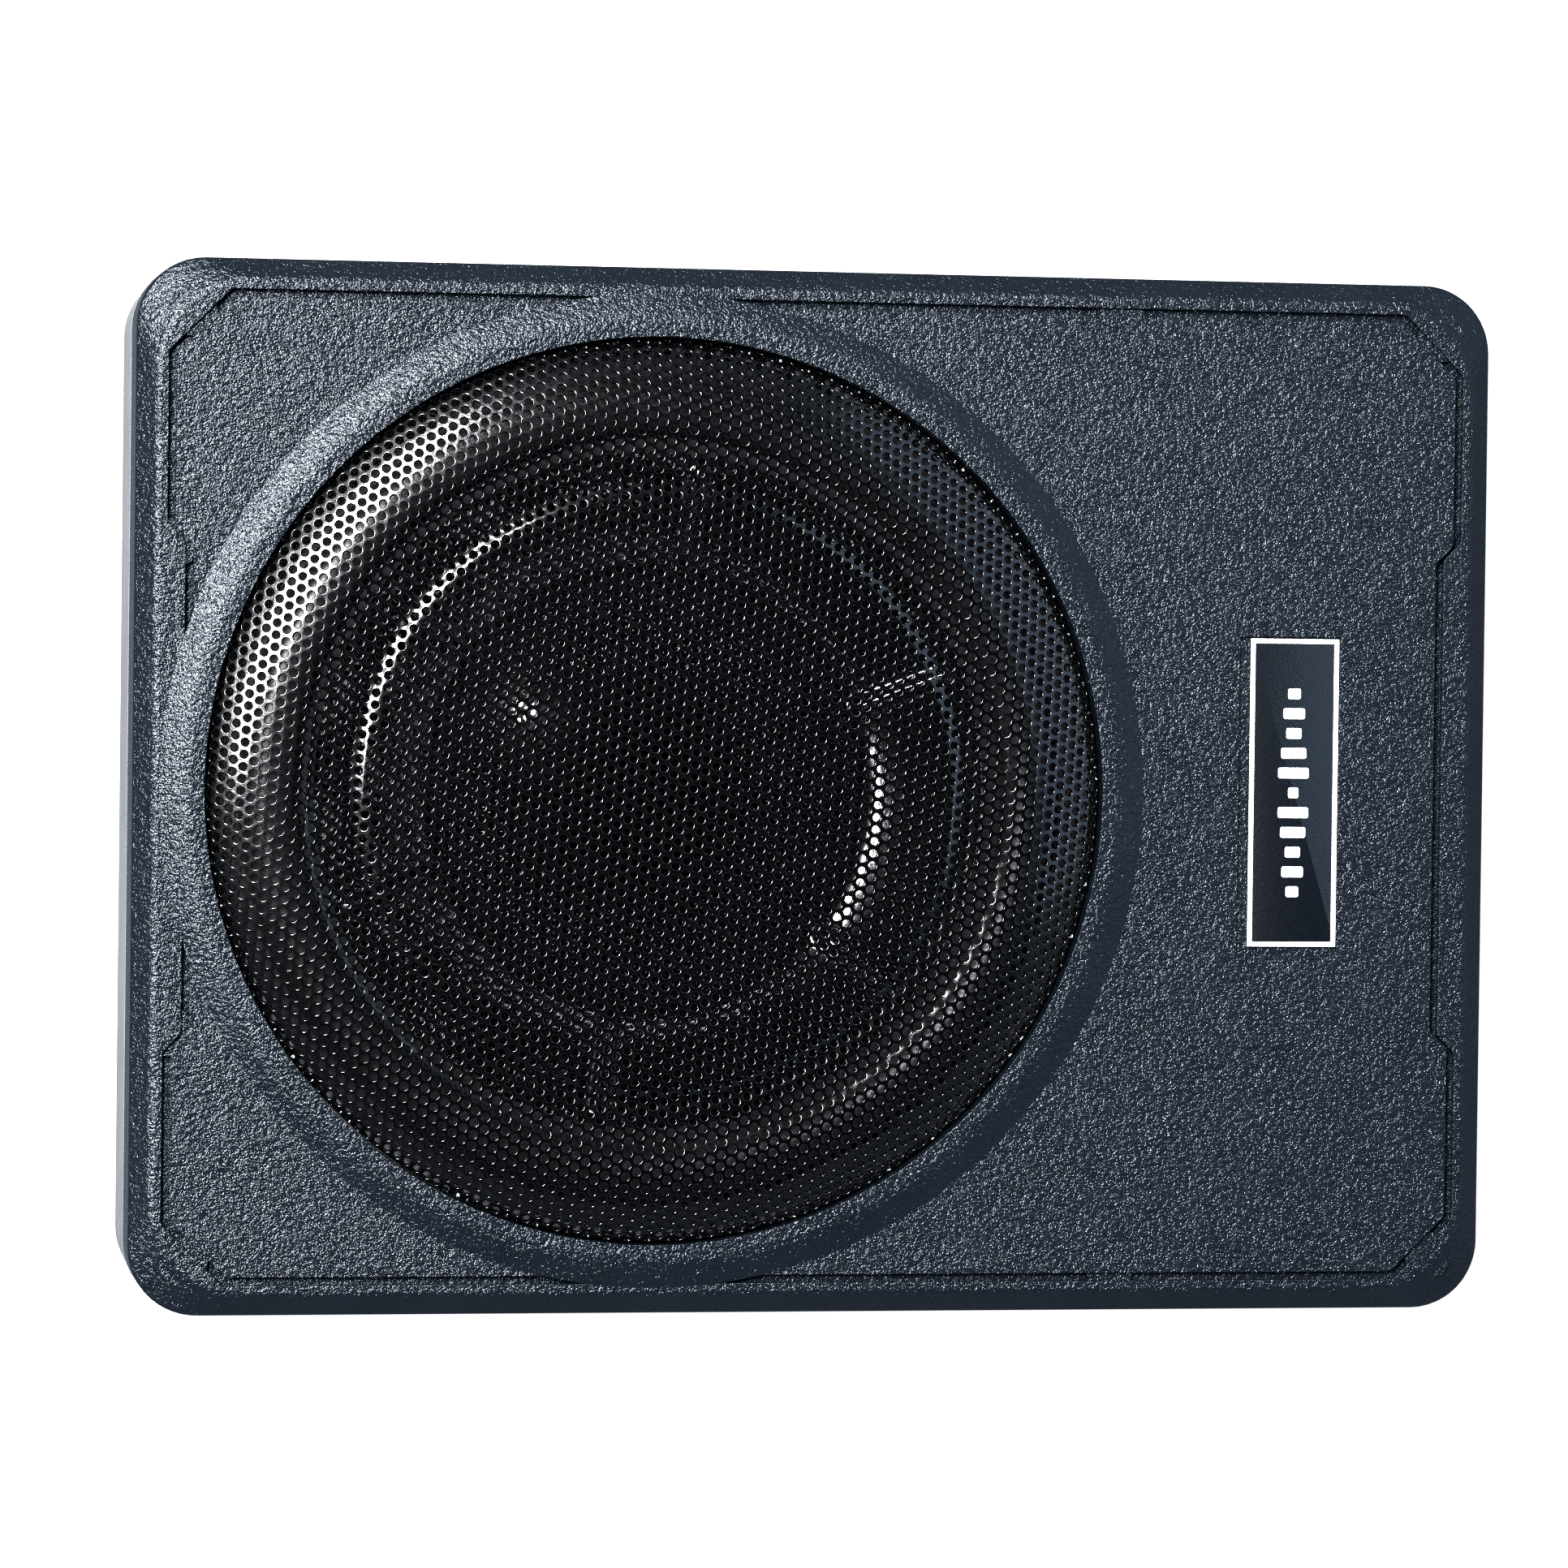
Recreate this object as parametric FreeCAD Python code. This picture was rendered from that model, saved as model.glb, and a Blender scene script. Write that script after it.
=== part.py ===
import FreeCAD, Part
import math
import os

# Slim powered subwoofer for mounting under a car seat.
# Frame: origin at the centre of the footprint on the plane the feet stand on, +X along the length
# towards the connector end, +Z out of the grille. All sizes are in millimetres.

# Case outline.
CASE_LENGTH = 343.0
CASE_WIDTH = 260.0
CORNER_RADIUS = 17.0
BASE_WALL = 3.0
COVER_WALL = 3.2
CASTING_DRAFT = 0.8

# Height stack, from the floor up.
FOOT_HEIGHT = 2.5
BASE_HEIGHT = 41.5
GASKET_THICKNESS = 1.0
SKIRT_HEIGHT = 17.5
BEVEL_HEIGHT = 4.0
BEVEL_WIDTH = 5.1
PANEL_CORNER_RADIUS = 24.0
PANEL_EDGE_RADIUS = 2.8
RING_HEIGHT = 2.2
BASE_Z = FOOT_HEIGHT
FLOOR_Z = BASE_Z + BASE_WALL
RIM_Z = BASE_Z + BASE_HEIGHT
COVER_Z = RIM_Z + GASKET_THICKNESS
BEVEL_Z = COVER_Z + SKIRT_HEIGHT
PANEL_Z = BEVEL_Z + BEVEL_HEIGHT
RING_Z = PANEL_Z + RING_HEIGHT

# Woofer axis, the raised ring and the opening for the grille.
WOOFER_X = -41.7
OPENING_RADIUS = 112.6
RING_LAND = 3.4
RING_OUTER_RADIUS = 123.4
LEDGE_RADIUS = 109.4
LEDGE_Z = 58.5
WOOFER_SEAT_Z = 55.0
WOOFER_FLANGE_RADIUS = 122.0
WOOFER_SCREW_RADIUS = 118.5
WOOFER_SCREW_COUNT = 8

# Decorative groove in the panel.
GROOVE_INSET = 7.7
GROOVE_WIDTH = 2.05
GROOVE_DEPTH = 2.2
GROOVE_CORNER_RADIUS = 2.5
GROOVE_CHAMFER = 15.2
NOTCH_DEPTH = 4.5
NOTCH_HALF_LENGTH = 60.3

# Name plate and the recess it lies in.
PLATE_SIZE = (22.9, 77.7, 1.2)
PLATE_CENTRE = (120.6, 1.0)
PLATE_BORDER = 1.15
RECESS_SIZE = (26.0, 80.6, 0.8)
RECESS_CENTRE = (119.4, 0.0)

# Grille sheet, as radius and height of its outer face from the rim's lower edge to the centre.
SHEET = 1.0
GRILLE_RADIUS = 112.1
GRILLE_PROFILE = [
    (GRILLE_RADIUS, 59.5), (GRILLE_RADIUS, 65.3), (109.5, 66.6), (106.0, 68.0), (102.0, 69.35),
    (98.0, 70.4), (94.5, 71.05), (91.5, 71.3), (89.0, 71.25), (87.4, 70.7), (79.4, 70.7),
    (77.6, 70.4), (75.9, 70.55), (73.8, 71.4), (72.5, 71.55), (60.0, 71.85), (0.0, 72.0),
]

# Woofer motor: pole and coil radii, and the levels of the plates.
YOKE_Z = 7.0
MAGNET_Z = 11.5
TOP_PLATE_Z = 24.5
BASKET_Z = 29.5
YOKE_RADIUS = 52.0
MAGNET_RADIUS = 56.0
MAGNET_BORE = 32.0
TOP_PLATE_RADIUS = 53.0
POLE_RADIUS = 24.4
GAP_RADIUS = 27.4
FORMER_RADIUS = 25.0
FORMER_THICKNESS = 0.3
WINDING_THICKNESS = 1.2
SPIDER_Z = 36.5

# Cone, dust cap and surround.
CAP_RADIUS = 54.5
CAP_RISE = 13.4
CAP_Z = 44.6
CAP_SHEET = 0.8
CONE_SHEET = 0.8
CONE_NECK_Z = 41.6
CONE_FOOT_Z = CAP_Z - 0.4
CONE_BOWL_RADIUS = 62.5
CONE_SHOULDER_RADIUS = 69.0
CONE_EDGE_RADIUS = 88.0
FOOT_SLOPE = 0.06
WALL_SLOPE = 0.60
DISH_SLOPE = 0.234
CONE_RIB_COUNT = 6
CONE_RIB_START = 21.5
CONE_RIB_WIDTH = 2.2
CONE_RIB_HEIGHT = 1.6
CONE_RIB_ENDS = (57.0, 83.0)
ROLL_RADIUS = 7.5
ROLL_CENTRE = 96.0
SURROUND_Z = 54.0

# Connector bay in the +X end of the base, and the panel plate inside it.
BAY_HALF_WIDTH = 100.0
BAY_LOW_Z = 9.0
BAY_HIGH_Z = 38.0
BAY_MID_Z = (BAY_LOW_Z + BAY_HIGH_Z) / 2
PANEL_X = 160.0
PANEL_SHEET = 1.6
PANEL_FACE_X = PANEL_X + PANEL_SHEET
CONNECTOR_BACK_X = 149.0
KNOB_Y = (63.0, 75.0, 87.0)
KNOB_NAMES = ("gain_knob", "crossover_knob", "bass_boost_knob")
STEM_RADIUS = 3.0
RUNNING_GAP = 0.05
TERMINAL_Y = -72.0
TERMINAL_PITCH = 12.0
FUSE_Y = -38.0
SOCKET_Y = -14.0
REMOTE_Y = 4.0
RCA_Y = (18.0, 32.0)
LED_Y = 42.3
PHASE_Y = 50.6
PHASE_TRAVEL = 3.2

# Amplifier board.
BOARD_X = (86.0, 156.0)
BOARD_HALF_WIDTH = 96.0
BOARD_Z = 12.0
BOARD_TOP = BOARD_Z + 1.6
BOARD_SCREWS = [(x, y) for x in (93.0, 145.0) for y in (-91.0, 0.0, 91.0)]
LARGE_CANS = (110.0, (-84.0, -64.0, -44.0, -24.0), 8.0, 28.0)
SMALL_CANS = (134.0, (-80.0, -66.0, -52.0, -38.0), 5.0, 15.0)
TOROID = (118.0, 12.0, 20.0)
TOROID_OUTER = 18.0
TOROID_BORE = 9.0
TOROID_HEIGHT = 10.0
TOROID_TURNS = 20
TRANSISTOR_COUNT = 6
LEG_PITCH = 2.54
TRANSISTOR_X = [94.0 + 10.6 * index for index in range(TRANSISTOR_COUNT)]

# Fasteners, feet and bracket holes.
CASE_SCREWS = [(x, y) for x in (-158.0, 158.0) for y in (-116.5, 116.5)]
CASE_SCREWS += [(x, y) for x, half in ((75.0, 119.5), (-161.5, 60.0)) for y in (-half, half)]
POST_RADIUS = 6.5
COUNTERBORE_TOP = 36.0
FEET = [(x, y) for x in (-132.0, 132.0) for y in (-104.0, 104.0)]
FOOT_RADIUS = 9.0
BRACKET_HOLES = [(x, y) for x in (-150.0, 150.0) for y in (-80.0, 80.0)]
BRACKET_HOLE_RADIUS = 2.5
INSERT_RADIUS = 3.5
INSERT_TOP = 10.0

UP = FreeCAD.Vector(0, 0, 1)
ALONG_X = FreeCAD.Vector(1, 0, 0)


# Helpers.

def vector(x, y, z):
    return FreeCAD.Vector(x, y, z)


def block(x0, x1, y0, y1, z0, z1):
    return Part.makeBox(x1 - x0, y1 - y0, z1 - z0, vector(x0, y0, z0))


def cylinder(x, y, z0, z1, radius):
    return Part.makeCylinder(radius, z1 - z0, vector(x, y, z0), UP)


def tube(x, y, z0, z1, outer, inner):
    return cylinder(x, y, z0, z1, outer).cut(cylinder(x, y, z0 - 1, z1 + 1, inner))


def cylinder_x(x0, x1, y, z, radius):
    return Part.makeCylinder(radius, x1 - x0, vector(x0, y, z), ALONG_X)


def fuse(shapes):
    whole = shapes[0]
    for shape in shapes[1:]:
        whole = whole.fuse(shape)
    return whole.removeSplitter()


def cut(shape, tools):
    for tool in tools:
        shape = shape.cut(tool)
    return shape


def rounded_outline(length, width, radius, z, centre=(0.0, 0.0)):
    """A closed wire: a rectangle with round corners, lying flat at height z."""
    cx, cy = centre
    wires = []
    corners = [(1, 1, 0), (-1, 1, 90), (-1, -1, 180), (1, -1, 270)]
    ends = []
    for sx, sy, start in corners:
        middle = vector(cx + sx * (length / 2 - radius), cy + sy * (width / 2 - radius), z)
        circle = Part.Circle(middle, UP, radius)
        arc = Part.Arc(circle, math.radians(start), math.radians(start + 90)).toShape()
        wires.append(arc)
        ends.append((arc.valueAt(arc.FirstParameter), arc.valueAt(arc.LastParameter)))
    for index in range(4):
        wires.append(Part.makeLine(ends[index][1], ends[(index + 1) % 4][0]))
    return Part.Wire(Part.__sortEdges__(wires))


def rounded_prism(length, width, radius, z0, z1, centre=(0.0, 0.0)):
    return Part.Face(rounded_outline(length, width, radius, z0, centre)).extrude(vector(0, 0, z1 - z0))


def rounded_taper(length, width, radius, z0, z1, shrink, top_radius=None):
    """A rounded box whose walls lean inwards by shrink between z0 and z1, or outwards if negative.
    Its corners stay concentric unless top_radius gives the upper ones a radius of their own."""
    low = rounded_outline(length, width, radius, z0)
    high = rounded_outline(length - 2 * shrink, width - 2 * shrink, top_radius or radius - shrink, z1)
    return Part.makeLoft([low, high], True, True)


def polygon_prism(points, z0, z1):
    corners = [vector(x, y, z0) for x, y in points]
    return Part.Face(Part.makePolygon(corners + corners[:1])).extrude(vector(0, 0, z1 - z0))


def turn(face):
    """Turns a face in the X-Z plane, drawn with X as radius, about the vertical axis."""
    return face.revolve(vector(0, 0, 0), UP, 360)


def turned(points):
    """A solid of revolution about the woofer's axis from a closed list of radius, height pairs."""
    corners = [vector(r, 0, z) for r, z in points]
    solid = turn(Part.Face(Part.makePolygon(corners + corners[:1])))
    solid.translate(vector(WOOFER_X, 0, 0))
    return solid


def around_woofer(shape, count, start=0.0):
    """Copies of a shape, evenly spaced about the woofer's axis."""
    copies = []
    for index in range(count):
        copy = shape.copy()
        copy.rotate(vector(WOOFER_X, 0, 0), UP, start + 360.0 * index / count)
        copies.append(copy)
    return copies


def wire_tube(points, radius):
    """A round wire along a smooth curve through the points."""
    curve = Part.BSplineCurve()
    curve.interpolate([vector(*point) for point in points])
    path = Part.Wire(curve.toShape())
    start = curve.value(curve.FirstParameter)
    tangent = curve.tangent(curve.FirstParameter)[0]
    section = Part.Wire(Part.Circle(start, tangent, radius).toShape())
    return path.makePipeShell([section], True, True)


def edges_at(shape, z):
    """The edges of a shape that lie flat at height z."""
    return [edge for edge in shape.Edges
            if abs(edge.BoundBox.ZMin - z) < 0.01 and abs(edge.BoundBox.ZMax - z) < 0.01]


# Case.

def base_case():
    outer = rounded_taper(CASE_LENGTH, CASE_WIDTH, CORNER_RADIUS, RIM_Z, BASE_Z, CASTING_DRAFT)
    outer = outer.makeFillet(2.2, edges_at(outer, BASE_Z))
    inner = rounded_taper(CASE_LENGTH - 2 * BASE_WALL, CASE_WIDTH - 2 * BASE_WALL,
                          CORNER_RADIUS - BASE_WALL, RIM_Z, FLOOR_Z, CASTING_DRAFT)
    inner = inner.fuse(rounded_prism(CASE_LENGTH - 2 * BASE_WALL, CASE_WIDTH - 2 * BASE_WALL,
                                     CORNER_RADIUS - BASE_WALL, RIM_Z, RIM_Z + 5))
    shell = outer.cut(inner)
    frame = block(PANEL_X - 2.5, CASE_LENGTH / 2 - 2.0, -BAY_HALF_WIDTH - 3, BAY_HALF_WIDTH + 3,
                  BAY_LOW_Z - 4, BAY_HIGH_Z + 3)
    heat_pad = block(84, 152, -95, 95, FLOOR_Z - 0.5, FLOOR_Z + 2)
    shell = fuse([shell, frame, heat_pad])
    for x, y in CASE_SCREWS:
        shell = shell.fuse(cylinder(x, y, FLOOR_Z - 1, COVER_Z, POST_RADIUS))
    for x, y in BOARD_SCREWS:
        shell = shell.fuse(cylinder(x, y, FLOOR_Z - 1, BOARD_Z, 3.5))
    for x, y in BRACKET_HOLES:
        shell = shell.fuse(cylinder(x, y, FLOOR_Z - 1, INSERT_TOP + 1, INSERT_RADIUS + 2))
    tools = [
        block(PANEL_X, CASE_LENGTH, -BAY_HALF_WIDTH, BAY_HALF_WIDTH, BAY_LOW_Z, BAY_HIGH_Z),
        block(PANEL_X - 10, PANEL_X + 1, -BAY_HALF_WIDTH + 2.5, BAY_HALF_WIDTH - 2.5,
              BAY_LOW_Z + 2.5, BAY_HIGH_Z - 2.5),
    ]
    tools += [cylinder(x, y, -1, COUNTERBORE_TOP, 4.4) for x, y in CASE_SCREWS]
    tools += [cylinder(x, y, COUNTERBORE_TOP - 1, COVER_Z + 1, 2.2) for x, y in CASE_SCREWS]
    tools += [cylinder(x, y, FLOOR_Z + 1, BOARD_Z + 1, 1.3) for x, y in BOARD_SCREWS]
    tools += [cylinder(x, y, -1, INSERT_TOP, INSERT_RADIUS) for x, y in BRACKET_HOLES]
    tools += [cylinder(x, y, -1, BASE_Z + 0.8, FOOT_RADIUS + 0.2) for x, y in FEET]
    channel_count = 13
    for index in range(channel_count):
        y = (index - (channel_count - 1) / 2) * 13.0
        tools.append(rounded_prism(46, 6, 2.9, -1, BASE_Z + 2.4, (112.0, y)))
    shell = cut(shell, tools)
    corner_bosses = []
    for y, z in panel_screw_places():
        boss = cylinder_x(PANEL_X - 6, PANEL_X, y, z, 3.6)
        corner_bosses.append(boss.common(block(0, PANEL_X, -BAY_HALF_WIDTH - 1, BAY_HALF_WIDTH + 1,
                                               BAY_LOW_Z - 1, BAY_HIGH_Z + 1)))
    shell = fuse([shell] + corner_bosses)
    pilots = [cylinder_x(PANEL_X - 5, PANEL_X + 1, y, z, 1.3) for y, z in panel_screw_places()]
    return cut(shell, pilots)


def case_gasket():
    outer = rounded_prism(CASE_LENGTH - 0.8, CASE_WIDTH - 0.8, CORNER_RADIUS - 0.4, RIM_Z, COVER_Z)
    inner = rounded_prism(CASE_LENGTH - 5.2, CASE_WIDTH - 5.2, CORNER_RADIUS - 2.6,
                          RIM_Z - 1, COVER_Z + 1)
    return outer.cut(inner)


def groove_outline(inset):
    """Corner points of the groove's outer edge moved inwards by inset: chamfers and stepped ends."""
    half_x = CASE_LENGTH / 2 - GROOVE_INSET - inset
    half_y = CASE_WIDTH / 2 - GROOVE_INSET - inset
    chamfer = GROOVE_CHAMFER - inset * (2 - math.sqrt(2))
    shift = inset * (math.sqrt(2) - 1)
    step_end = NOTCH_HALF_LENGTH - shift
    step_start = step_end + NOTCH_DEPTH
    quarter = [
        (half_x - NOTCH_DEPTH, step_end),
        (half_x, step_start),
        (half_x, half_y - chamfer),
        (half_x - chamfer, half_y),
    ]
    upper_left = [(-x, y) for x, y in reversed(quarter)]
    lower = [(x, -y) for x, y in reversed(quarter + upper_left)]
    return quarter + upper_left + lower


def rounded_polygon_prism(points, radius, z0, z1):
    prism = polygon_prism(points, z0, z1)
    upright = [edge for edge in prism.Edges if edge.BoundBox.ZLength > (z1 - z0) / 2]
    return prism.makeFillet(radius, upright)


def groove_cutter():
    floor_z = PANEL_Z - GROOVE_DEPTH
    outer = rounded_polygon_prism(groove_outline(0.0), GROOVE_CORNER_RADIUS, floor_z, PANEL_Z + 1)
    inner = rounded_polygon_prism(groove_outline(GROOVE_WIDTH), GROOVE_CORNER_RADIUS,
                                  floor_z - 1, PANEL_Z + 2)
    return outer.cut(inner)


def ring_crown():
    """Radius and height along the ring's outer slope, which flattens towards its land."""
    slope_width = RING_OUTER_RADIUS - OPENING_RADIUS - RING_LAND
    steps = 5
    points = []
    for index in range(1, steps + 1):
        share = index / steps
        rise = RING_HEIGHT * (1.25 * share - 0.25 * share ** 5)
        points.append((RING_OUTER_RADIUS - slope_width * share, PANEL_Z + rise))
    return points


def top_cover():
    skirt = rounded_prism(CASE_LENGTH, CASE_WIDTH, CORNER_RADIUS, COVER_Z, BEVEL_Z)
    bevel = rounded_taper(CASE_LENGTH, CASE_WIDTH, CORNER_RADIUS, BEVEL_Z, PANEL_Z, BEVEL_WIDTH,
                          PANEL_CORNER_RADIUS)
    outer = skirt.fuse(bevel)
    outer = outer.makeFillet(1.0, edges_at(outer, BEVEL_Z))
    outer = outer.makeFillet(PANEL_EDGE_RADIUS, edges_at(outer, PANEL_Z))
    length = CASE_LENGTH - 2 * COVER_WALL
    width = CASE_WIDTH - 2 * COVER_WALL
    radius = CORNER_RADIUS - COVER_WALL
    ceiling = PANEL_Z - COVER_WALL
    inner = rounded_prism(length, width, radius, COVER_Z - 1, BEVEL_Z - 1)
    inner = inner.fuse(rounded_taper(length, width, radius, BEVEL_Z - 1, ceiling, BEVEL_WIDTH * 0.85,
                                     PANEL_CORNER_RADIUS - COVER_WALL))
    shell = outer.cut(inner).cut(groove_cutter())
    length, width, depth = RECESS_SIZE
    shell = shell.cut(rounded_prism(length, width, 0.5, PANEL_Z - depth, PANEL_Z + 1, RECESS_CENTRE))
    wall_radius = OPENING_RADIUS + 2.5
    ring = turned([
        (LEDGE_RADIUS, WOOFER_SEAT_Z), (WOOFER_FLANGE_RADIUS, WOOFER_SEAT_Z),
        (WOOFER_FLANGE_RADIUS, LEDGE_Z), (wall_radius, LEDGE_Z), (wall_radius, ceiling),
        (RING_OUTER_RADIUS, ceiling), (RING_OUTER_RADIUS, PANEL_Z), *ring_crown(),
        (OPENING_RADIUS, RING_Z), (OPENING_RADIUS, LEDGE_Z), (LEDGE_RADIUS, LEDGE_Z),
    ])
    opening = cylinder(WOOFER_X, 0, LEDGE_Z, RING_Z + 5, OPENING_RADIUS)
    shell = shell.cut(opening).fuse(ring)
    boss = cylinder(WOOFER_X + WOOFER_SCREW_RADIUS, 0, WOOFER_SEAT_Z, PANEL_Z - 1, 3.5)
    for copy in around_woofer(boss, WOOFER_SCREW_COUNT, 22.5):
        shell = shell.fuse(copy)
    for x, y in CASE_SCREWS:
        shell = shell.fuse(cylinder(x, y, COVER_Z, PANEL_Z - 1, POST_RADIUS - 0.5))
    pilot = cylinder(WOOFER_X + WOOFER_SCREW_RADIUS, 0, WOOFER_SEAT_Z - 1, PANEL_Z - 4, 1.75)
    tools = around_woofer(pilot, WOOFER_SCREW_COUNT, 22.5)
    tools += [cylinder(x, y, COVER_Z - 1, COVER_Z + 12, 1.75) for x, y in CASE_SCREWS]
    return cut(shell, tools).removeSplitter()


def case_screws():
    """Countersunk from below, through the hollow posts of the base into the bosses of the cover."""
    screws = []
    for x, y in CASE_SCREWS:
        head = cylinder(x, y, COUNTERBORE_TOP - 2.4, COUNTERBORE_TOP, 3.8)
        socket = cylinder(x, y, COUNTERBORE_TOP - 3, COUNTERBORE_TOP - 1, 1.2)
        shank = cylinder(x, y, COUNTERBORE_TOP - 0.5, COVER_Z + 11, 1.7)
        screws.append(head.cut(socket).fuse(shank))
    return Part.makeCompound(screws)


def feet():
    pads = []
    for x, y in FEET:
        pad = cylinder(x, y, 0, BASE_Z + 0.8, FOOT_RADIUS)
        pads.append(pad.makeChamfer(0.6, edges_at(pad, 0)))
    return Part.makeCompound(pads)


def bracket_inserts():
    """Threaded brass inserts that take M5 bracket screws from below."""
    inserts = []
    for x, y in BRACKET_HOLES:
        body = cylinder(x, y, BASE_Z, INSERT_TOP, INSERT_RADIUS)
        inserts.append(body.cut(cylinder(x, y, BASE_Z - 1, INSERT_TOP - 0.5, BRACKET_HOLE_RADIUS)))
    return Part.makeCompound(inserts)


def name_plate():
    length, width, thickness = PLATE_SIZE
    low = PANEL_Z - RECESS_SIZE[2]
    body = rounded_prism(length, width, 0.4, low, low + thickness, PLATE_CENTRE)
    field = rounded_prism(length - 2 * PLATE_BORDER, width - 2 * PLATE_BORDER, 0.1,
                          low + thickness - 0.2, low + thickness + 1, PLATE_CENTRE)
    return body.cut(field)


# Grille.

def inner_face(profile, thickness):
    """The profile moved inwards by the sheet's thickness, square to it at every corner."""
    normals = []
    for (r0, z0), (r1, z1) in zip(profile, profile[1:]):
        length = math.hypot(r1 - r0, z1 - z0)
        normals.append(((z0 - z1) / length, (r1 - r0) / length))
    before = [normals[0]] + normals
    after = normals + [normals[-1]]
    points = []
    for (r, z), (ar, az), (br, bz) in zip(profile, before, after):
        stretch = thickness / (1 + ar * br + az * bz)
        points.append((r + (ar + br) * stretch, z + (az + bz) * stretch))
    return points


def grille():
    """Pressed steel sheet: turned-down rim, convex band, shallow pressed channel and raised middle."""
    inner = inner_face(GRILLE_PROFILE, SHEET)
    inner[-1] = (0.0, inner[-1][1])
    return turned(GRILLE_PROFILE + inner[::-1])


def grille_seal():
    return tube(WOOFER_X, 0, LEDGE_Z, GRILLE_PROFILE[0][1], OPENING_RADIUS - 0.2, LEDGE_RADIUS + 0.2)


# Woofer.

def woofer_basket():
    shell = turned([
        (45, BASKET_Z), (58, BASKET_Z), (70, 34.0), (106, 52), (WOOFER_FLANGE_RADIUS, 52),
        (WOOFER_FLANGE_RADIUS, SURROUND_Z), (104.5, SURROUND_Z), (68.5, SPIDER_Z - 0.5),
        (61.0, SPIDER_Z - 0.5), (56, BASKET_Z + 2), (45, BASKET_Z + 2),
    ])
    window = polygon_prism([(74, -19), (100, -27), (100, 27), (74, 19)], 30, 53)
    window = window.common(cylinder(0, 0, 20, 60, 102)).cut(cylinder(0, 0, 20, 60, 75))
    window.translate(vector(WOOFER_X, 0, 0))
    tools = around_woofer(window, 6)
    hole = cylinder(WOOFER_X + WOOFER_SCREW_RADIUS, 0, 50, 56, 2.1)
    tools += around_woofer(hole, WOOFER_SCREW_COUNT, 22.5)
    return cut(shell, tools)


def woofer_gasket():
    ring = tube(WOOFER_X, 0, SURROUND_Z, WOOFER_SEAT_Z, WOOFER_FLANGE_RADIUS, 112.8)
    hole = cylinder(WOOFER_X + WOOFER_SCREW_RADIUS, 0, 50, 60, 2.1)
    return cut(ring, around_woofer(hole, WOOFER_SCREW_COUNT, 22.5))


def woofer_screws():
    x = WOOFER_X + WOOFER_SCREW_RADIUS
    head = cylinder(x, 0, 49.6, 52, 3.3).cut(cylinder(x, 0, 49, 51, 1.2))
    screw = head.fuse(cylinder(x, 0, 51.5, 61.5, 1.7))
    return Part.makeCompound(around_woofer(screw, WOOFER_SCREW_COUNT, 22.5))


def surround():
    """Half-roll rubber edge between the cone and the basket flange."""
    sheet = 0.8
    inner_end = 84.5
    outer_end = 111.5
    z = SURROUND_Z
    outer_arc = Part.Arc(vector(ROLL_CENTRE - ROLL_RADIUS, 0, z + sheet),
                         vector(ROLL_CENTRE, 0, z + sheet + ROLL_RADIUS),
                         vector(ROLL_CENTRE + ROLL_RADIUS, 0, z + sheet)).toShape()
    small = ROLL_RADIUS - sheet
    inner_arc = Part.Arc(vector(ROLL_CENTRE - small, 0, z),
                         vector(ROLL_CENTRE, 0, z + sheet + small),
                         vector(ROLL_CENTRE + small, 0, z)).toShape()
    lines = [
        Part.makeLine(vector(inner_end, 0, z + sheet), vector(ROLL_CENTRE - ROLL_RADIUS, 0, z + sheet)),
        Part.makeLine(vector(ROLL_CENTRE + ROLL_RADIUS, 0, z + sheet), vector(outer_end, 0, z + sheet)),
        Part.makeLine(vector(outer_end, 0, z + sheet), vector(outer_end, 0, z)),
        Part.makeLine(vector(outer_end, 0, z), vector(ROLL_CENTRE + small, 0, z)),
        Part.makeLine(vector(ROLL_CENTRE - small, 0, z), vector(inner_end, 0, z)),
        Part.makeLine(vector(inner_end, 0, z), vector(inner_end, 0, z + sheet)),
    ]
    outline = Part.Wire(Part.__sortEdges__(lines + [outer_arc, inner_arc]))
    solid = turn(Part.Face(outline))
    solid.translate(vector(WOOFER_X, 0, 0))
    return solid


def curved_rise(start, end, first_slope, last_slope, radius):
    """Rise from start up to radius where the slope changes evenly between start and end."""
    run = min(radius, end) - start
    mean_change = (last_slope - first_slope) * run / (end - start) / 2
    return run * (first_slope + mean_change)


def cone_height(radius):
    """Height of the cone's upper face: neck under the cap, hollow round it, shoulder, straight dish."""
    if radius <= CAP_RADIUS:
        share = (radius - FORMER_RADIUS) / (CAP_RADIUS - FORMER_RADIUS)
        return CONE_NECK_Z + (CONE_FOOT_Z - CONE_NECK_Z) * share
    z = CONE_FOOT_Z + curved_rise(CAP_RADIUS, CONE_BOWL_RADIUS, FOOT_SLOPE, WALL_SLOPE, radius)
    if radius > CONE_BOWL_RADIUS:
        z += curved_rise(CONE_BOWL_RADIUS, CONE_SHOULDER_RADIUS, WALL_SLOPE, DISH_SLOPE, radius)
    if radius > CONE_SHOULDER_RADIUS:
        z += (radius - CONE_SHOULDER_RADIUS) * DISH_SLOPE
    return z


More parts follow.
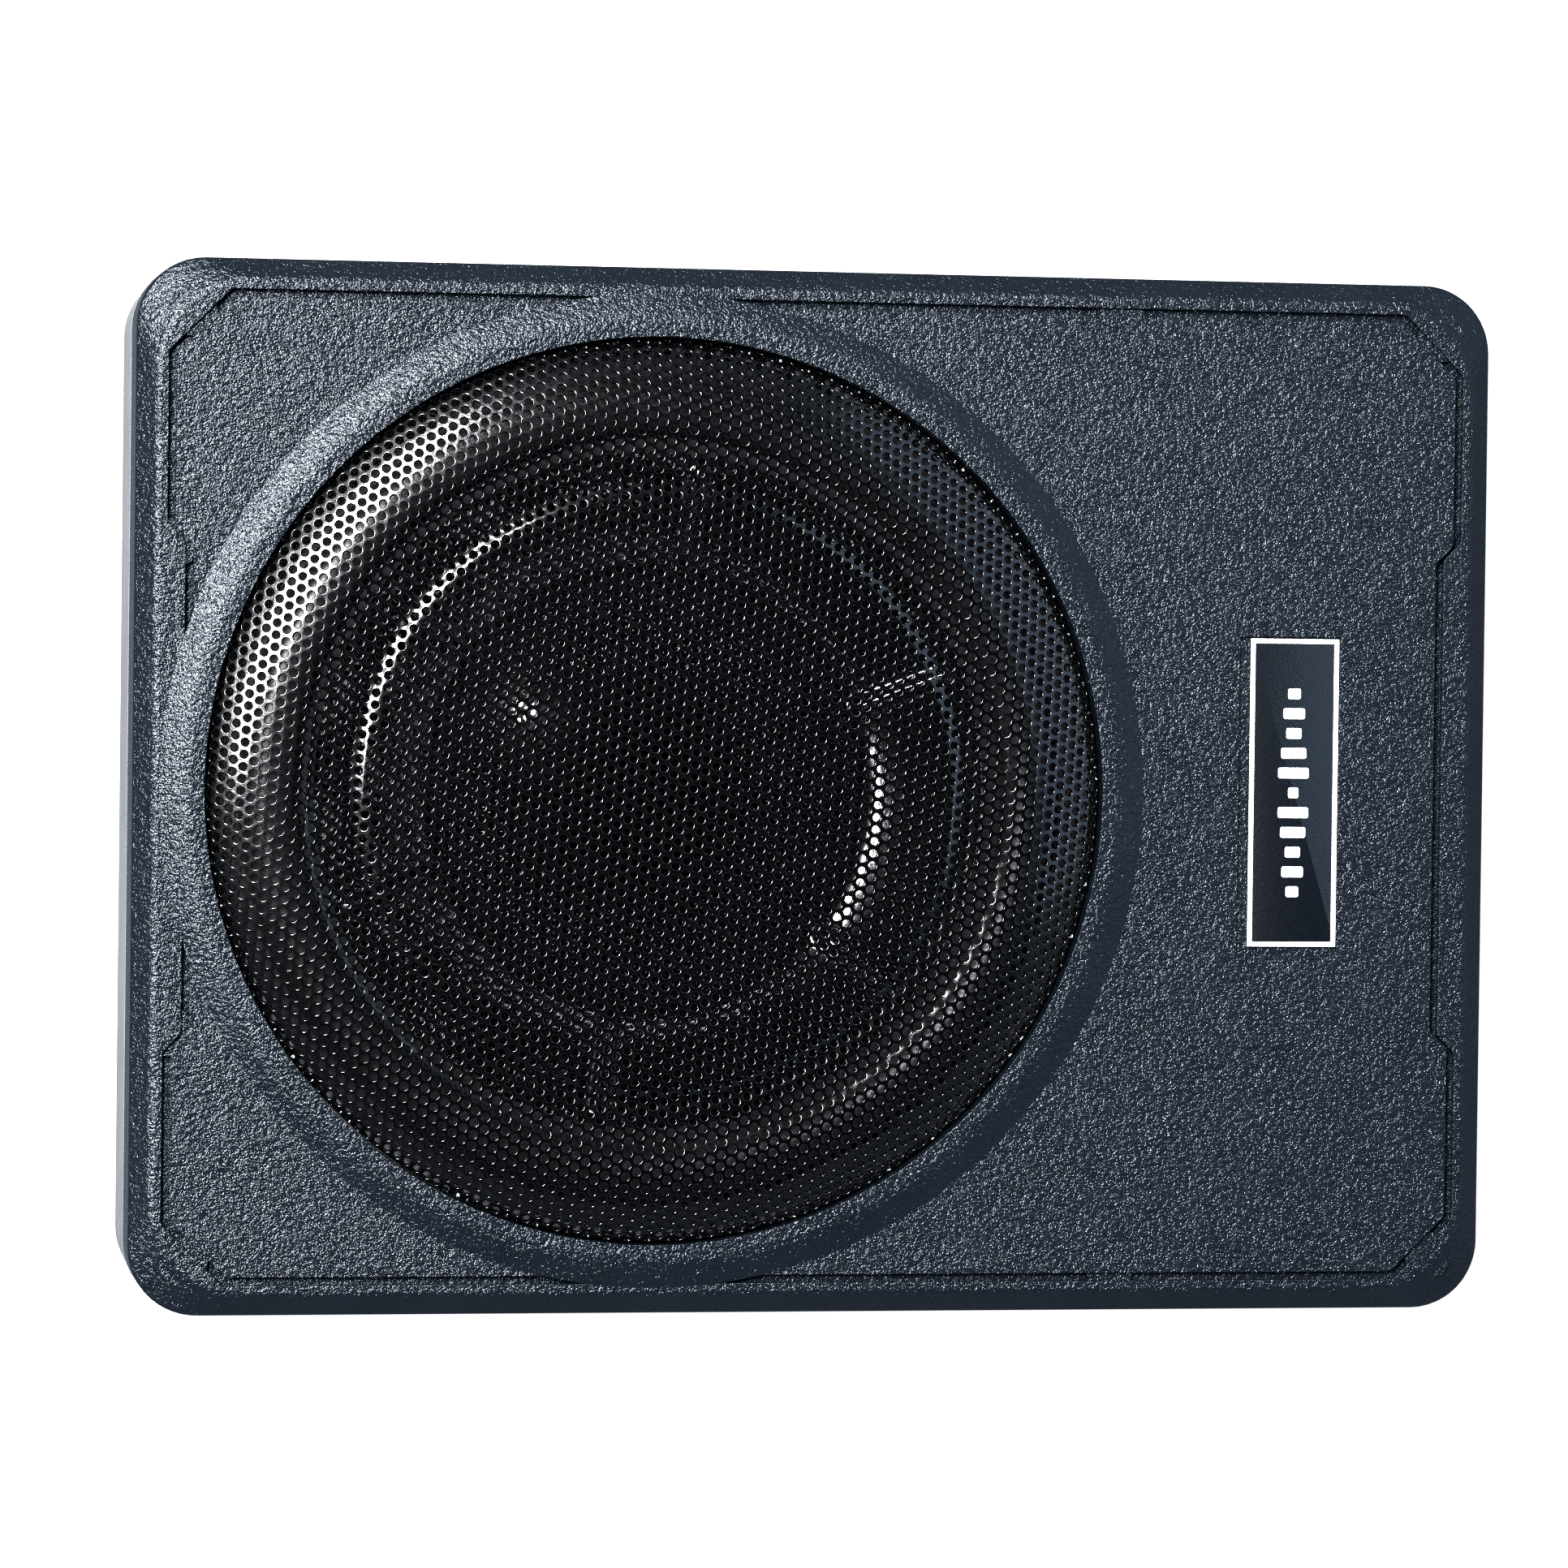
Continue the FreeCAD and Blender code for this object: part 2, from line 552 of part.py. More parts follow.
def cone():
    radii = [FORMER_RADIUS + FORMER_THICKNESS, 38.0, CAP_RADIUS]
    steps = 5
    for index in range(1, steps + 1):
        radii.append(CAP_RADIUS + (CONE_BOWL_RADIUS - CAP_RADIUS) * index / steps)
    for index in range(1, steps + 1):
        radii.append(CONE_BOWL_RADIUS + (CONE_SHOULDER_RADIUS - CONE_BOWL_RADIUS) * index / steps)
    radii.append(CONE_EDGE_RADIUS)
    upper = [(r, cone_height(r)) for r in radii]
    lower = [(r, z - CONE_SHEET) for r, z in upper]
    dish = turned(upper + lower[::-1])
    first, last = CONE_RIB_ENDS
    rib_steps = 8
    rib_low = []
    rib_high = []
    for index in range(rib_steps + 1):
        share = index / rib_steps
        radius = first + (last - first) * share
        z = cone_height(radius)
        rib_low.append((radius, z - CONE_SHEET / 2))
        rib_high.append((radius, z + CONE_RIB_HEIGHT * max(math.sin(math.pi * share), 0) ** 0.5))
    corners = [vector(r, -CONE_RIB_WIDTH / 2, z) for r, z in rib_low + rib_high[::-1]]
    rib = Part.Face(Part.makePolygon(corners + corners[:1])).extrude(vector(0, CONE_RIB_WIDTH, 0))
    rib.translate(vector(WOOFER_X, 0, 0))
    return fuse([dish] + around_woofer(rib, CONE_RIB_COUNT, CONE_RIB_START))


def dust_cap():
    """Shallow dome glued to the cone, with a short skirt."""
    sphere = (CAP_RADIUS ** 2 + CAP_RISE ** 2) / (2 * CAP_RISE)
    edge_z = CAP_Z + CAP_SHEET
    crest_z = edge_z + CAP_RISE
    half_z = crest_z - sphere + math.sqrt(sphere ** 2 - (CAP_RADIUS / 2) ** 2)
    inner_radius = CAP_RADIUS - CAP_SHEET
    under_z = edge_z - CAP_SHEET * 0.4
    foot_z = CONE_FOOT_Z + 0.05
    top = Part.Arc(vector(CAP_RADIUS, 0, edge_z), vector(CAP_RADIUS / 2, 0, half_z),
                   vector(0, 0, crest_z)).toShape()
    under = Part.Arc(vector(inner_radius, 0, under_z), vector(CAP_RADIUS / 2, 0, half_z - CAP_SHEET),
                     vector(0, 0, crest_z - CAP_SHEET)).toShape()
    lines = [
        Part.makeLine(vector(0, 0, crest_z), vector(0, 0, crest_z - CAP_SHEET)),
        Part.makeLine(vector(inner_radius, 0, under_z), vector(inner_radius, 0, foot_z)),
        Part.makeLine(vector(inner_radius, 0, foot_z), vector(CAP_RADIUS, 0, foot_z)),
        Part.makeLine(vector(CAP_RADIUS, 0, foot_z), vector(CAP_RADIUS, 0, edge_z)),
    ]
    solid = turn(Part.Face(Part.Wire(Part.__sortEdges__(lines + [top, under]))))
    solid.translate(vector(WOOFER_X, 0, 0))
    return solid


def coil_former():
    return tube(WOOFER_X, 0, 17.5, 42.6, FORMER_RADIUS + FORMER_THICKNESS, FORMER_RADIUS)


def coil_winding():
    inner = FORMER_RADIUS + FORMER_THICKNESS
    return tube(WOOFER_X, 0, 19.5, 34.5, inner + WINDING_THICKNESS, inner)


def spider():
    """Corrugated cloth disc that centres the coil: waves between the former and the basket shelf."""
    sheet = 0.5
    waves = 4
    steps = waves * 4
    inner = FORMER_RADIUS + FORMER_THICKNESS
    upper = [(inner, SPIDER_Z + sheet)]
    for index in range(steps + 1):
        radius = 29.5 + (59.5 - 29.5) * index / steps
        lift = 0.9 * math.sin(2 * math.pi * waves * index / steps)
        upper.append((radius, SPIDER_Z + sheet + lift))
    upper.append((61.5, SPIDER_Z + sheet))
    upper.append((67.0, SPIDER_Z + sheet))
    lower = [(r, z - sheet) for r, z in upper]
    lower[-1] = (67.0, SPIDER_Z - 0.5)
    lower[-2] = (61.5, SPIDER_Z - 0.5)
    return turned(upper + lower[::-1])


def magnet_yoke():
    """Back plate and pole in one piece, with a vent through the pole."""
    plate = cylinder(WOOFER_X, 0, YOKE_Z, MAGNET_Z, YOKE_RADIUS)
    pole = cylinder(WOOFER_X, 0, MAGNET_Z - 1, BASKET_Z + 0.5, POLE_RADIUS)
    vent = cylinder(WOOFER_X, 0, 0, 60, 6.0)
    body = plate.fuse(pole).cut(vent)
    return body.makeChamfer(1.0, edges_at(body, YOKE_Z)[:1])


def magnet():
    return tube(WOOFER_X, 0, MAGNET_Z, TOP_PLATE_Z, MAGNET_RADIUS, MAGNET_BORE)


def magnet_top_plate():
    return tube(WOOFER_X, 0, TOP_PLATE_Z, BASKET_Z, TOP_PLATE_RADIUS, GAP_RADIUS)


def woofer_terminals():
    """Insulating board under the basket flange, with two blade tabs."""
    x = WOOFER_X + 108
    board = block(x, x + 2, -15, 15, 41, 52)
    tabs = [block(x - 3, x + 8, y - 2.4, y + 2.4, 44.6, 45.4) for y in (-8.0, 8.0)]
    return fuse([board] + tabs)


def tinsel_leads():
    """Two braided leads from the terminals, through a basket window, to the foot of the cone."""
    leads = []
    for y in (-8.0, 8.0):
        path = [(105.0, y, 46.3), (92.0, y, 44.3), (72.0, y, 41.3),
                (52.0, y * 0.9, 39.6), (28.0, y * 0.6, 39.4)]
        leads.append(wire_tube([(WOOFER_X + x, side, z) for x, side, z in path], 0.7))
    return Part.makeCompound(leads)


# Amplifier.

def amplifier_board():
    board = block(BOARD_X[0], BOARD_X[1], -BOARD_HALF_WIDTH, BOARD_HALF_WIDTH, BOARD_Z, BOARD_TOP)
    tools = [cylinder(x, y, 0, 20, 1.6) for x, y in BOARD_SCREWS]
    tools += [block(152.5, 157, y - 5, y + 5, 0, 20) for y in (-96.5, 96.5)]
    return cut(board, tools)


def board_screws():
    screws = []
    for x, y in BOARD_SCREWS:
        head = cylinder(x, y, BOARD_TOP, BOARD_TOP + 1.9, 2.8).cut(cylinder(x, y, BOARD_TOP + 1, 20, 1.0))
        screws.append(head.fuse(cylinder(x, y, FLOOR_Z + 1.5, BOARD_TOP + 0.5, 1.25)))
    return Part.makeCompound(screws)


def capacitors():
    cans = []
    for x, rows, radius, height in (LARGE_CANS, SMALL_CANS):
        cans += [capacitor(x, y, radius, height) for y in rows]
    return Part.makeCompound(cans)


def capacitor(x, y, radius, height):
    """Electrolytic can: crimp groove near the foot and a rounded top edge."""
    can = cylinder(x, y, BOARD_TOP, BOARD_TOP + height, radius)
    can = can.makeFillet(0.8, edges_at(can, BOARD_TOP + height))
    return can.cut(tube(x, y, BOARD_TOP + 2.4, BOARD_TOP + 3.6, radius + 1, radius - 0.5))


def toroid_core():
    x, y, middle = TOROID
    return tube(x, y, middle - TOROID_HEIGHT / 2, middle + TOROID_HEIGHT / 2, TOROID_OUTER, TOROID_BORE)


def toroid_winding():
    """Separate flat turns round the toroid's section, fanned about its axis."""
    x, y, middle = TOROID
    wire = 1.2
    half = wire * 0.45
    low = middle - TOROID_HEIGHT / 2
    high = middle + TOROID_HEIGHT / 2
    outer = block(x + TOROID_BORE - wire, x + TOROID_OUTER + wire, y - half, y + half,
                  low - wire, high + wire)
    loop = outer.cut(block(x + TOROID_BORE - 0.1, x + TOROID_OUTER + 0.1, y - 2, y + 2,
                           low - 0.05, high + 0.05))
    turns = []
    for index in range(TOROID_TURNS):
        copy = loop.copy()
        copy.rotate(vector(x, y, 0), UP, 360.0 * index / TOROID_TURNS)
        turns.append(copy)
    return Part.makeCompound(turns)


def board_chips():
    """Moulded packages soldered to the board."""
    places = [(126.0, 55.0, 18.0, 7.5, 3.2), (104.0, 52.0, 10.0, 10.0, 1.6), (142.0, 50.0, 6.0, 9.0, 1.8),
              (106.0, 72.0, 8.0, 5.0, 1.8), (128.0, 76.0, 16.0, 12.0, 13.0), (100.0, -6.0, 12.0, 6.0, 2.2)]
    chips = []
    for x, y, length, width, height in places:
        chips.append(block(x - length / 2, x + length / 2, y - width / 2, y + width / 2,
                           BOARD_TOP, BOARD_TOP + height))
    return Part.makeCompound(chips)


def power_transistors():
    """Six tab-mounted packages standing on the board against the heat sink bar."""
    parts = []
    for x in TRANSISTOR_X:
        body = block(x - 5, x + 5, 93.2, 96.4, 19, 28)
        tab = block(x - 5, x + 5, 96.3, 97.5, 19, 35)
        tab = tab.cut(Part.makeCylinder(1.8, 4, vector(x, 95, 31.6), vector(0, 1, 0)))
        legs = [block(leg - 0.4, leg + 0.4, 94.2, 94.8, BOARD_TOP, 19.5)
                for leg in (x - LEG_PITCH, x, x + LEG_PITCH)]
        parts.append(fuse([body, tab] + legs))
    return Part.makeCompound(parts)


def heat_sink_bar():
    bar = block(88, 152, 97.5, 105.5, FLOOR_Z, 36)
    grooves = [block(90 + 6 * index, 93 + 6 * index, 101.5, 106, 12, 37) for index in range(10)]
    return cut(bar, grooves)


def transistor_clamp():
    """Spring strip that presses the packages against the bar, and its two screws."""
    strip = block(89, 151, 92.0, 93.2, 21.5, 26.5)
    heads = [Part.makeCylinder(2.6, 1.8, vector(x, 90.2, 24), vector(0, 1, 0)) for x in (99.3, 141.7)]
    return fuse([strip] + heads)


def speaker_wires():
    """Insulated pair from the amplifier board to the woofer's tabs."""
    wires = []
    for y in (-8.0, 8.0):
        tab_x = WOOFER_X + 116.2
        path = [(91.0, y * 1.6, BOARD_TOP + 0.3), (90.7, y * 1.6, 22.0), (88.0, y * 1.2, 35.0),
                (82.0, y, 43.5), (tab_x + 0.3, y, 45.0)]
        wires.append(wire_tube(path, 1.2))
    return Part.makeCompound(wires)


# Connector end.

def panel_screw_places():
    return [(y, BAY_MID_Z + z) for y in (-96.2, 96.2) for z in (-10.9, 10.9)]


def panel_openings():
    """Tools that cut the plate round each connector, with a small gap."""
    gap = 0.2
    low = PANEL_X - 2
    high = PANEL_FACE_X + 2
    tools = []
    for y, width, height in ((TERMINAL_Y, 38.0, 17.0), (FUSE_Y, 24.0, 9.0), (SOCKET_Y, 15.0, 11.0),
                             (REMOTE_Y, 13.0, 12.0), (PHASE_Y, 6.4, 3.0)):
        tools.append(block(low, high, y - width / 2 - gap, y + width / 2 + gap,
                           BAY_MID_Z - height / 2 - gap, BAY_MID_Z + height / 2 + gap))
    tools += [cylinder_x(low, high, y, BAY_MID_Z, 5.4) for y in RCA_Y]
    tools += [cylinder_x(low, high, y, BAY_MID_Z, 3.6) for y in KNOB_Y]
    tools.append(cylinder_x(low, high, LED_Y, BAY_MID_Z, 1.7))
    tools += [cylinder_x(low, high, y, z, 1.7) for y, z in panel_screw_places()]
    return tools


def board_foot(y, width):
    """Foot of a connector's moulding, which stands on the amplifier board behind the panel."""
    return block(CONNECTOR_BACK_X, 155.5, y - width / 2, y + width / 2, BOARD_TOP, BAY_MID_Z)


def connector_panel():
    edge = 0.2
    plate = block(PANEL_X, PANEL_FACE_X, -BAY_HALF_WIDTH + edge, BAY_HALF_WIDTH - edge,
                  BAY_LOW_Z + edge, BAY_HIGH_Z - edge)
    return cut(plate, panel_openings())


def panel_screws():
    screws = []
    for y, z in panel_screw_places():
        head = cylinder_x(PANEL_FACE_X, PANEL_FACE_X + 1.8, y, z, 2.7)
        cross = block(PANEL_FACE_X + 1, PANEL_FACE_X + 3, y - 1.5, y + 1.5, z - 0.3, z + 0.3)
        cross = cross.fuse(block(PANEL_FACE_X + 1, PANEL_FACE_X + 3, y - 0.3, y + 0.3, z - 1.5, z + 1.5))
        screws.append(head.cut(cross).fuse(cylinder_x(PANEL_X - 4.5, PANEL_FACE_X + 0.5, y, z, 1.25)))
    return Part.makeCompound(screws)


def power_terminal_block():
    """Three clamp poles in one moulding: a wire entry and a screw bore in each, facing out of the bay."""
    half = 19.0
    body = block(148, 170, TERMINAL_Y - half, TERMINAL_Y + half, BAY_MID_Z - 8.5, BAY_MID_Z + 8.5)
    body = body.fuse(board_foot(TERMINAL_Y, 36.0))
    tools = []
    for index in (-1, 0, 1):
        y = TERMINAL_Y + index * TERMINAL_PITCH
        tools.append(cylinder_x(158, 171, y, BAY_MID_Z - 3.6, 2.9))
        tools.append(cylinder_x(158, 171, y, BAY_MID_Z + 4.2, 2.6))
    return cut(body, tools)


def terminal_screws():
    screws = []
    for index in (-1, 0, 1):
        y = TERMINAL_Y + index * TERMINAL_PITCH
        z = BAY_MID_Z + 4.2
        body = cylinder_x(158, 168.6, y, z, 2.5)
        screws.append(body.cut(block(167.6, 170, y - 3, y + 3, z - 0.4, z + 0.4)))
    return Part.makeCompound(screws)


def fuse_holder():
    body = block(CONNECTOR_BACK_X, 166, FUSE_Y - 12, FUSE_Y + 12, BAY_MID_Z - 4.5, BAY_MID_Z + 4.5)
    pocket = block(161, 167, FUSE_Y - 9.8, FUSE_Y + 9.8, BAY_MID_Z - 2.8, BAY_MID_Z + 2.8)
    slots = [block(153, 162, y - 2.8, y + 2.8, BAY_MID_Z - 0.5, BAY_MID_Z + 0.5)
             for y in (FUSE_Y - 6.5, FUSE_Y + 6.5)]
    return cut(body.fuse(board_foot(FUSE_Y, 20.0)), [pocket] + slots)


def blade_fuse():
    """Plug-in fuse: moulded body with two blades."""
    body = block(161.2, 170.6, FUSE_Y - 9.5, FUSE_Y + 9.5, BAY_MID_Z - 2.5, BAY_MID_Z + 2.5)
    waist = [block(163, 169, FUSE_Y - 4, FUSE_Y + 4, z - 0.8, z + 0.8)
             for z in (BAY_MID_Z - 2.5, BAY_MID_Z + 2.5)]
    blades = [block(153.5, 161.5, y - 2.6, y + 2.6, BAY_MID_Z - 0.35, BAY_MID_Z + 0.35)
              for y in (FUSE_Y - 6.5, FUSE_Y + 6.5)]
    return fuse([cut(body, waist)] + blades)


def speaker_level_socket():
    """Four-way socket with a pin in each way."""
    body = block(CONNECTOR_BACK_X, 166.5, SOCKET_Y - 7.5, SOCKET_Y + 7.5, BAY_MID_Z - 5.5, BAY_MID_Z + 5.5)
    pocket = block(156, 167, SOCKET_Y - 6.3, SOCKET_Y + 6.3, BAY_MID_Z - 4.3, BAY_MID_Z + 4.3)
    pins = [block(155, 163.5, y - 0.5, y + 0.5, z - 0.5, z + 0.5)
            for y in (SOCKET_Y - 3.0, SOCKET_Y + 3.0) for z in (BAY_MID_Z - 2.1, BAY_MID_Z + 2.1)]
    body = body.fuse(board_foot(SOCKET_Y, 14.0))
    return fuse([body.cut(pocket)] + pins)


def remote_port():
    """Socket for the lead of a dash-mounted bass control."""
    body = block(CONNECTOR_BACK_X, 164.5, REMOTE_Y - 6.5, REMOTE_Y + 6.5, BAY_MID_Z - 6, BAY_MID_Z + 6)
    mouth = block(153, 166, REMOTE_Y - 4.9, REMOTE_Y + 4.9, BAY_MID_Z - 4.2, BAY_MID_Z + 2.6)
    key = block(153, 166, REMOTE_Y - 2.2, REMOTE_Y + 2.2, BAY_MID_Z + 2.0, BAY_MID_Z + 4.4)
    return cut(body.fuse(board_foot(REMOTE_Y, 12.0)), [mouth, key])


def rca_shells():
    """Outer contacts of the line inputs."""
    shells = []
    for y in RCA_Y:
        flange = cylinder_x(159.4, 162.6, y, BAY_MID_Z, 5.2)
        barrel = cylinder_x(162, 170.8, y, BAY_MID_Z, 4.15)
        shells.append(flange.fuse(barrel).cut(cylinder_x(158, 172, y, BAY_MID_Z, 3.5)))
    return Part.makeCompound(shells)


def rca_insulators():
    """Coloured cores of the line inputs, with the hole for the plug's pin."""
    cores = []
    for y in RCA_Y:
        core = cylinder_x(159.4, 170.2, y, BAY_MID_Z, 3.45).cut(cylinder_x(161, 172, y, BAY_MID_Z, 1.7))
        cores.append(core.fuse(block(CONNECTOR_BACK_X, 159.4, y - 5, y + 5, BOARD_TOP, BAY_MID_Z + 5.5)))
    return Part.makeCompound(cores)


def power_led():
    stem = cylinder_x(156, 162.6, LED_Y, BAY_MID_Z, 1.5)
    dome = Part.makeSphere(1.5, vector(162.6, LED_Y, BAY_MID_Z))
    collar = cylinder_x(156, 157, LED_Y, BAY_MID_Z, 1.9)
    legs = [block(156.2, 156.8, LED_Y + y - 0.25, LED_Y + y + 0.25, BOARD_TOP - 1.6, BAY_MID_Z - 1)
            for y in (-0.9, 0.9)]
    return fuse([stem, dome, collar] + legs)


def control_pots():
    """Rotary controls behind the panel, each with a bore that the knob's stem turns in."""
    pots = []
    for y in KNOB_Y:
        body = block(CONNECTOR_BACK_X, 159.8, y - 4.8, y + 4.8, BOARD_TOP, BAY_MID_Z + 5)
        pots.append(body.cut(cylinder_x(151.5, 161, y, BAY_MID_Z, STEM_RADIUS + RUNNING_GAP)))
    return Part.makeCompound(pots)


def knob(y):
    """Fluted knob on a round stem, with a pointer slot in its face."""
    stem = cylinder_x(152, 163.4, y, BAY_MID_Z, STEM_RADIUS)
    cap = cylinder_x(163, 171, y, BAY_MID_Z, 4.6)
    cap = cap.makeChamfer(0.4, [edge for edge in cap.Edges if abs(edge.BoundBox.XMin - 171) < 0.01][:1])
    flutes = []
    flute_count = 14
    for index in range(flute_count):
        angle = 2 * math.pi * index / flute_count
        flutes.append(cylinder_x(164.2, 172, y + 4.95 * math.cos(angle),
                                 BAY_MID_Z + 4.95 * math.sin(angle), 0.6))
    pointer = block(170.4, 172, y - 0.35, y + 0.35, BAY_MID_Z + 0.8, BAY_MID_Z + 6)
    return cut(stem.fuse(cap), flutes + [pointer])


def phase_switch():
    """Slide switch body with the channel its lever runs in."""
    body = block(CONNECTOR_BACK_X, 159.8, PHASE_Y - 5.6, PHASE_Y + 5.6, BOARD_TOP, BAY_MID_Z + 4)
    channel = block(155, 161, PHASE_Y - 3.2, PHASE_Y + 3.2, BAY_MID_Z - 1.5, BAY_MID_Z + 1.5)
    return body.cut(channel)


def phase_lever():
    """At rest at the -Y end of its channel; it slides along +Y."""
    gap = 0.1
    y = PHASE_Y - 3.2 + gap
    width = 6.4 - 2 * gap - PHASE_TRAVEL
    stem = block(155.1, 162.5, y, y + width, BAY_MID_Z - 1.4, BAY_MID_Z + 1.4)
    grip = block(162.4, 166.0, y, y + width, BAY_MID_Z - 1.4, BAY_MID_Z + 1.4)
    notches = [block(165.5, 167, y + width * share - 0.25, y + width * share + 0.25,
                     BAY_MID_Z - 2, BAY_MID_Z + 2) for share in (0.25, 0.5, 0.75)]
    return cut(stem.fuse(grip), notches)


def all_parts():
    makers = [
        base_case, case_gasket, top_cover, case_screws, feet, bracket_inserts, name_plate,
        grille, grille_seal, woofer_basket, woofer_gasket, woofer_screws, surround, cone, dust_cap,
        coil_former, coil_winding, spider, magnet_yoke, magnet, magnet_top_plate, woofer_terminals,
        tinsel_leads, amplifier_board, board_screws, capacitors, toroid_core, toroid_winding,
        board_chips, power_transistors, heat_sink_bar, transistor_clamp, speaker_wires,
        connector_panel, panel_screws, power_terminal_block, terminal_screws, fuse_holder, blade_fuse,
        speaker_level_socket, remote_port, rca_shells, rca_insulators, power_led, control_pots,
        phase_switch, phase_lever,
    ]
    parts = {maker.__name__: maker() for maker in makers}
    for name, y in zip(KNOB_NAMES, KNOB_Y):
        parts[name] = knob(y)
    return parts


os.makedirs("parts", exist_ok=True)
for name, shape in all_parts().items():
    shape.exportStep("parts/" + name + ".step")
    print(name, len(shape.Solids), round(shape.Volume), shape.isValid())
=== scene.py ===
import math

import bpy
import numpy as np
from mathutils import Matrix, Vector


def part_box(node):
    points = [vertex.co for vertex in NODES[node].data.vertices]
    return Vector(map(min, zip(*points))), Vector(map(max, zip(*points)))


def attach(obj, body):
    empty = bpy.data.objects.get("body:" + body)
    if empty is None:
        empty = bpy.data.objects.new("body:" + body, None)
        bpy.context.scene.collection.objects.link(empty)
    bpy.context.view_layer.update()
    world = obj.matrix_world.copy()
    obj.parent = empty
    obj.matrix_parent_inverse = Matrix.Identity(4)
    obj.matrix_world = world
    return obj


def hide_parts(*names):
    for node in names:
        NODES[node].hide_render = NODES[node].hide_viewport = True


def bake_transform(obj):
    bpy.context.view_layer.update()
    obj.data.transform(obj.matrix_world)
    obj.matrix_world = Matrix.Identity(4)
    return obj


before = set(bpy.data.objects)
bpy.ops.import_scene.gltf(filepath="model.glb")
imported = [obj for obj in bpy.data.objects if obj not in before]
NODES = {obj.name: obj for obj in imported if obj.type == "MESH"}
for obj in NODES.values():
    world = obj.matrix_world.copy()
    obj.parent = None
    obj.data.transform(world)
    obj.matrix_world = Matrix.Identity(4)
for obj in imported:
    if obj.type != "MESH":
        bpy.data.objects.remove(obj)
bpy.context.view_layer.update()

MM = 0.001
CASE = "case"
CONE_BODY = "cone_assembly"


# Places taken from the frame, in millimetres.

def box_mm(node):
    low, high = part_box(node)
    return np.array(low) / MM, np.array(high) / MM


def centre_mm(node):
    low, high = box_mm(node)
    return (low + high) / 2


GRILLE_LOW, GRILLE_HIGH = box_mm("grille")
AXIS_X = float(centre_mm("magnet")[0])
GRILLE_RADIUS = float(GRILLE_HIGH[0] - GRILLE_LOW[0]) / 2
PANEL_Z = float(box_mm("name_plate")[1][2]) - 0.4


# Meshes.

def new_piece(name, points, faces, body=CASE, smooth=True, sharp_angle=None):
    """A mesh object from points in millimetres. It rides on a body unless body is None."""
    mesh = bpy.data.meshes.new(name)
    mesh.from_pydata((np.asarray(points, float) * MM).tolist(), [], faces)
    mesh.validate()
    mesh.shade_smooth() if smooth else mesh.shade_flat()
    if sharp_angle is not None:
        mesh.set_sharp_from_angle(angle=math.radians(sharp_angle))
    piece = bpy.data.objects.new(name, mesh)
    bpy.context.scene.collection.objects.link(piece)
    if body is not None:
        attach(piece, body)
    return piece


def smooth_outline(corners, spacing=0.25, blur=0.6, closed=False):
    """Points along a polyline, evenly spaced, with its corners rounded by a moving average."""
    corners = np.asarray(corners, float)
    if closed:
        corners = np.vstack([corners, corners[:1]])
    steps = np.linalg.norm(np.diff(corners, axis=0), axis=1)
    along = np.concatenate([[0], np.cumsum(steps)])
    count = max(int(along[-1] / spacing), 8)
    where = np.linspace(0, along[-1], count + 1)
    points = np.column_stack([np.interp(where, along, corners[:, k]) for k in range(corners.shape[1])])
    reach = max(int(round(blur / spacing)), 0)
    if reach == 0:
        return points
    kernel = np.hanning(2 * reach + 3)[1:-1]
    kernel /= kernel.sum()
    if closed:
        points = points[:-1]
        padded = np.vstack([points[-reach:], points, points[:reach]])
    else:
        before = 2 * points[0] - points[reach:0:-1]
        after = 2 * points[-1] - points[-2:-reach - 2:-1]
        padded = np.vstack([before, points, after])
    return np.column_stack([np.convolve(padded[:, k], kernel, "valid") for k in range(points.shape[1])])


def lathe(name, outline, body=CASE, segments=256, sharp_angle=40, close=True, lift=None):
    """Turns a radius, height outline about the woofer's axis. Points on the axis become poles.
    lift(radius, angle, index) gives an extra height for each point."""
    outline = np.asarray(outline, float)
    angles = np.arange(segments) * 2 * math.pi / segments
    points = []
    rings = []
    for index, (radius, z) in enumerate(outline):
        if radius < 1e-6:
            rings.append([len(points)])
            points.append((AXIS_X, 0.0, z))
            continue
        extra = lift(radius, angles, index) if lift else np.zeros(segments)
        rings.append(list(range(len(points), len(points) + segments)))
        points += list(zip(AXIS_X + radius * np.cos(angles), radius * np.sin(angles), z + extra))
    faces = []
    pairs = list(zip(rings, rings[1:]))
    if close:
        pairs.append((rings[-1], rings[0]))
    for first, second in pairs:
        for k in range(segments):
            after = (k + 1) % segments
            if len(first) == 1 and len(second) == 1:
                break
            if len(first) == 1:
                faces.append((first[0], second[after], second[k]))
            elif len(second) == 1:
                faces.append((first[k], first[after], second[0]))
            else:
                faces.append((first[k], first[after], second[after], second[k]))
    return new_piece(name, points, faces, body, sharp_angle=sharp_angle)


def tube_along(points, radius, sides=12):
    """Points and faces of a round wire that follows a smooth curve through the given points."""
    path = smooth_outline(points, spacing=0.8, blur=6.0)
    tangent = np.gradient(path, axis=0)
    tangent /= np.linalg.norm(tangent, axis=1)[:, None]
    side = np.cross(tangent, [0.0, 1.0, 0.0])
    side /= np.linalg.norm(side, axis=1)[:, None]
    other = np.cross(tangent, side)
    turn = np.arange(sides) * 2 * math.pi / sides
    ring = np.cos(turn)[None, :, None] * side[:, None] + np.sin(turn)[None, :, None] * other[:, None]
    vertices = (path[:, None] + ring * radius).reshape(-1, 3)
    faces = []
    for row in range(len(path) - 1):
        for k in range(sides):
            after = (k + 1) % sides
            low = row * sides
            high = low + sides
            faces.append((low + k, low + after, high + after, high + k))
    faces.append(tuple(range(sides))[::-1])
    faces.append(tuple(range(len(vertices) - sides, len(vertices))))
    return vertices, faces


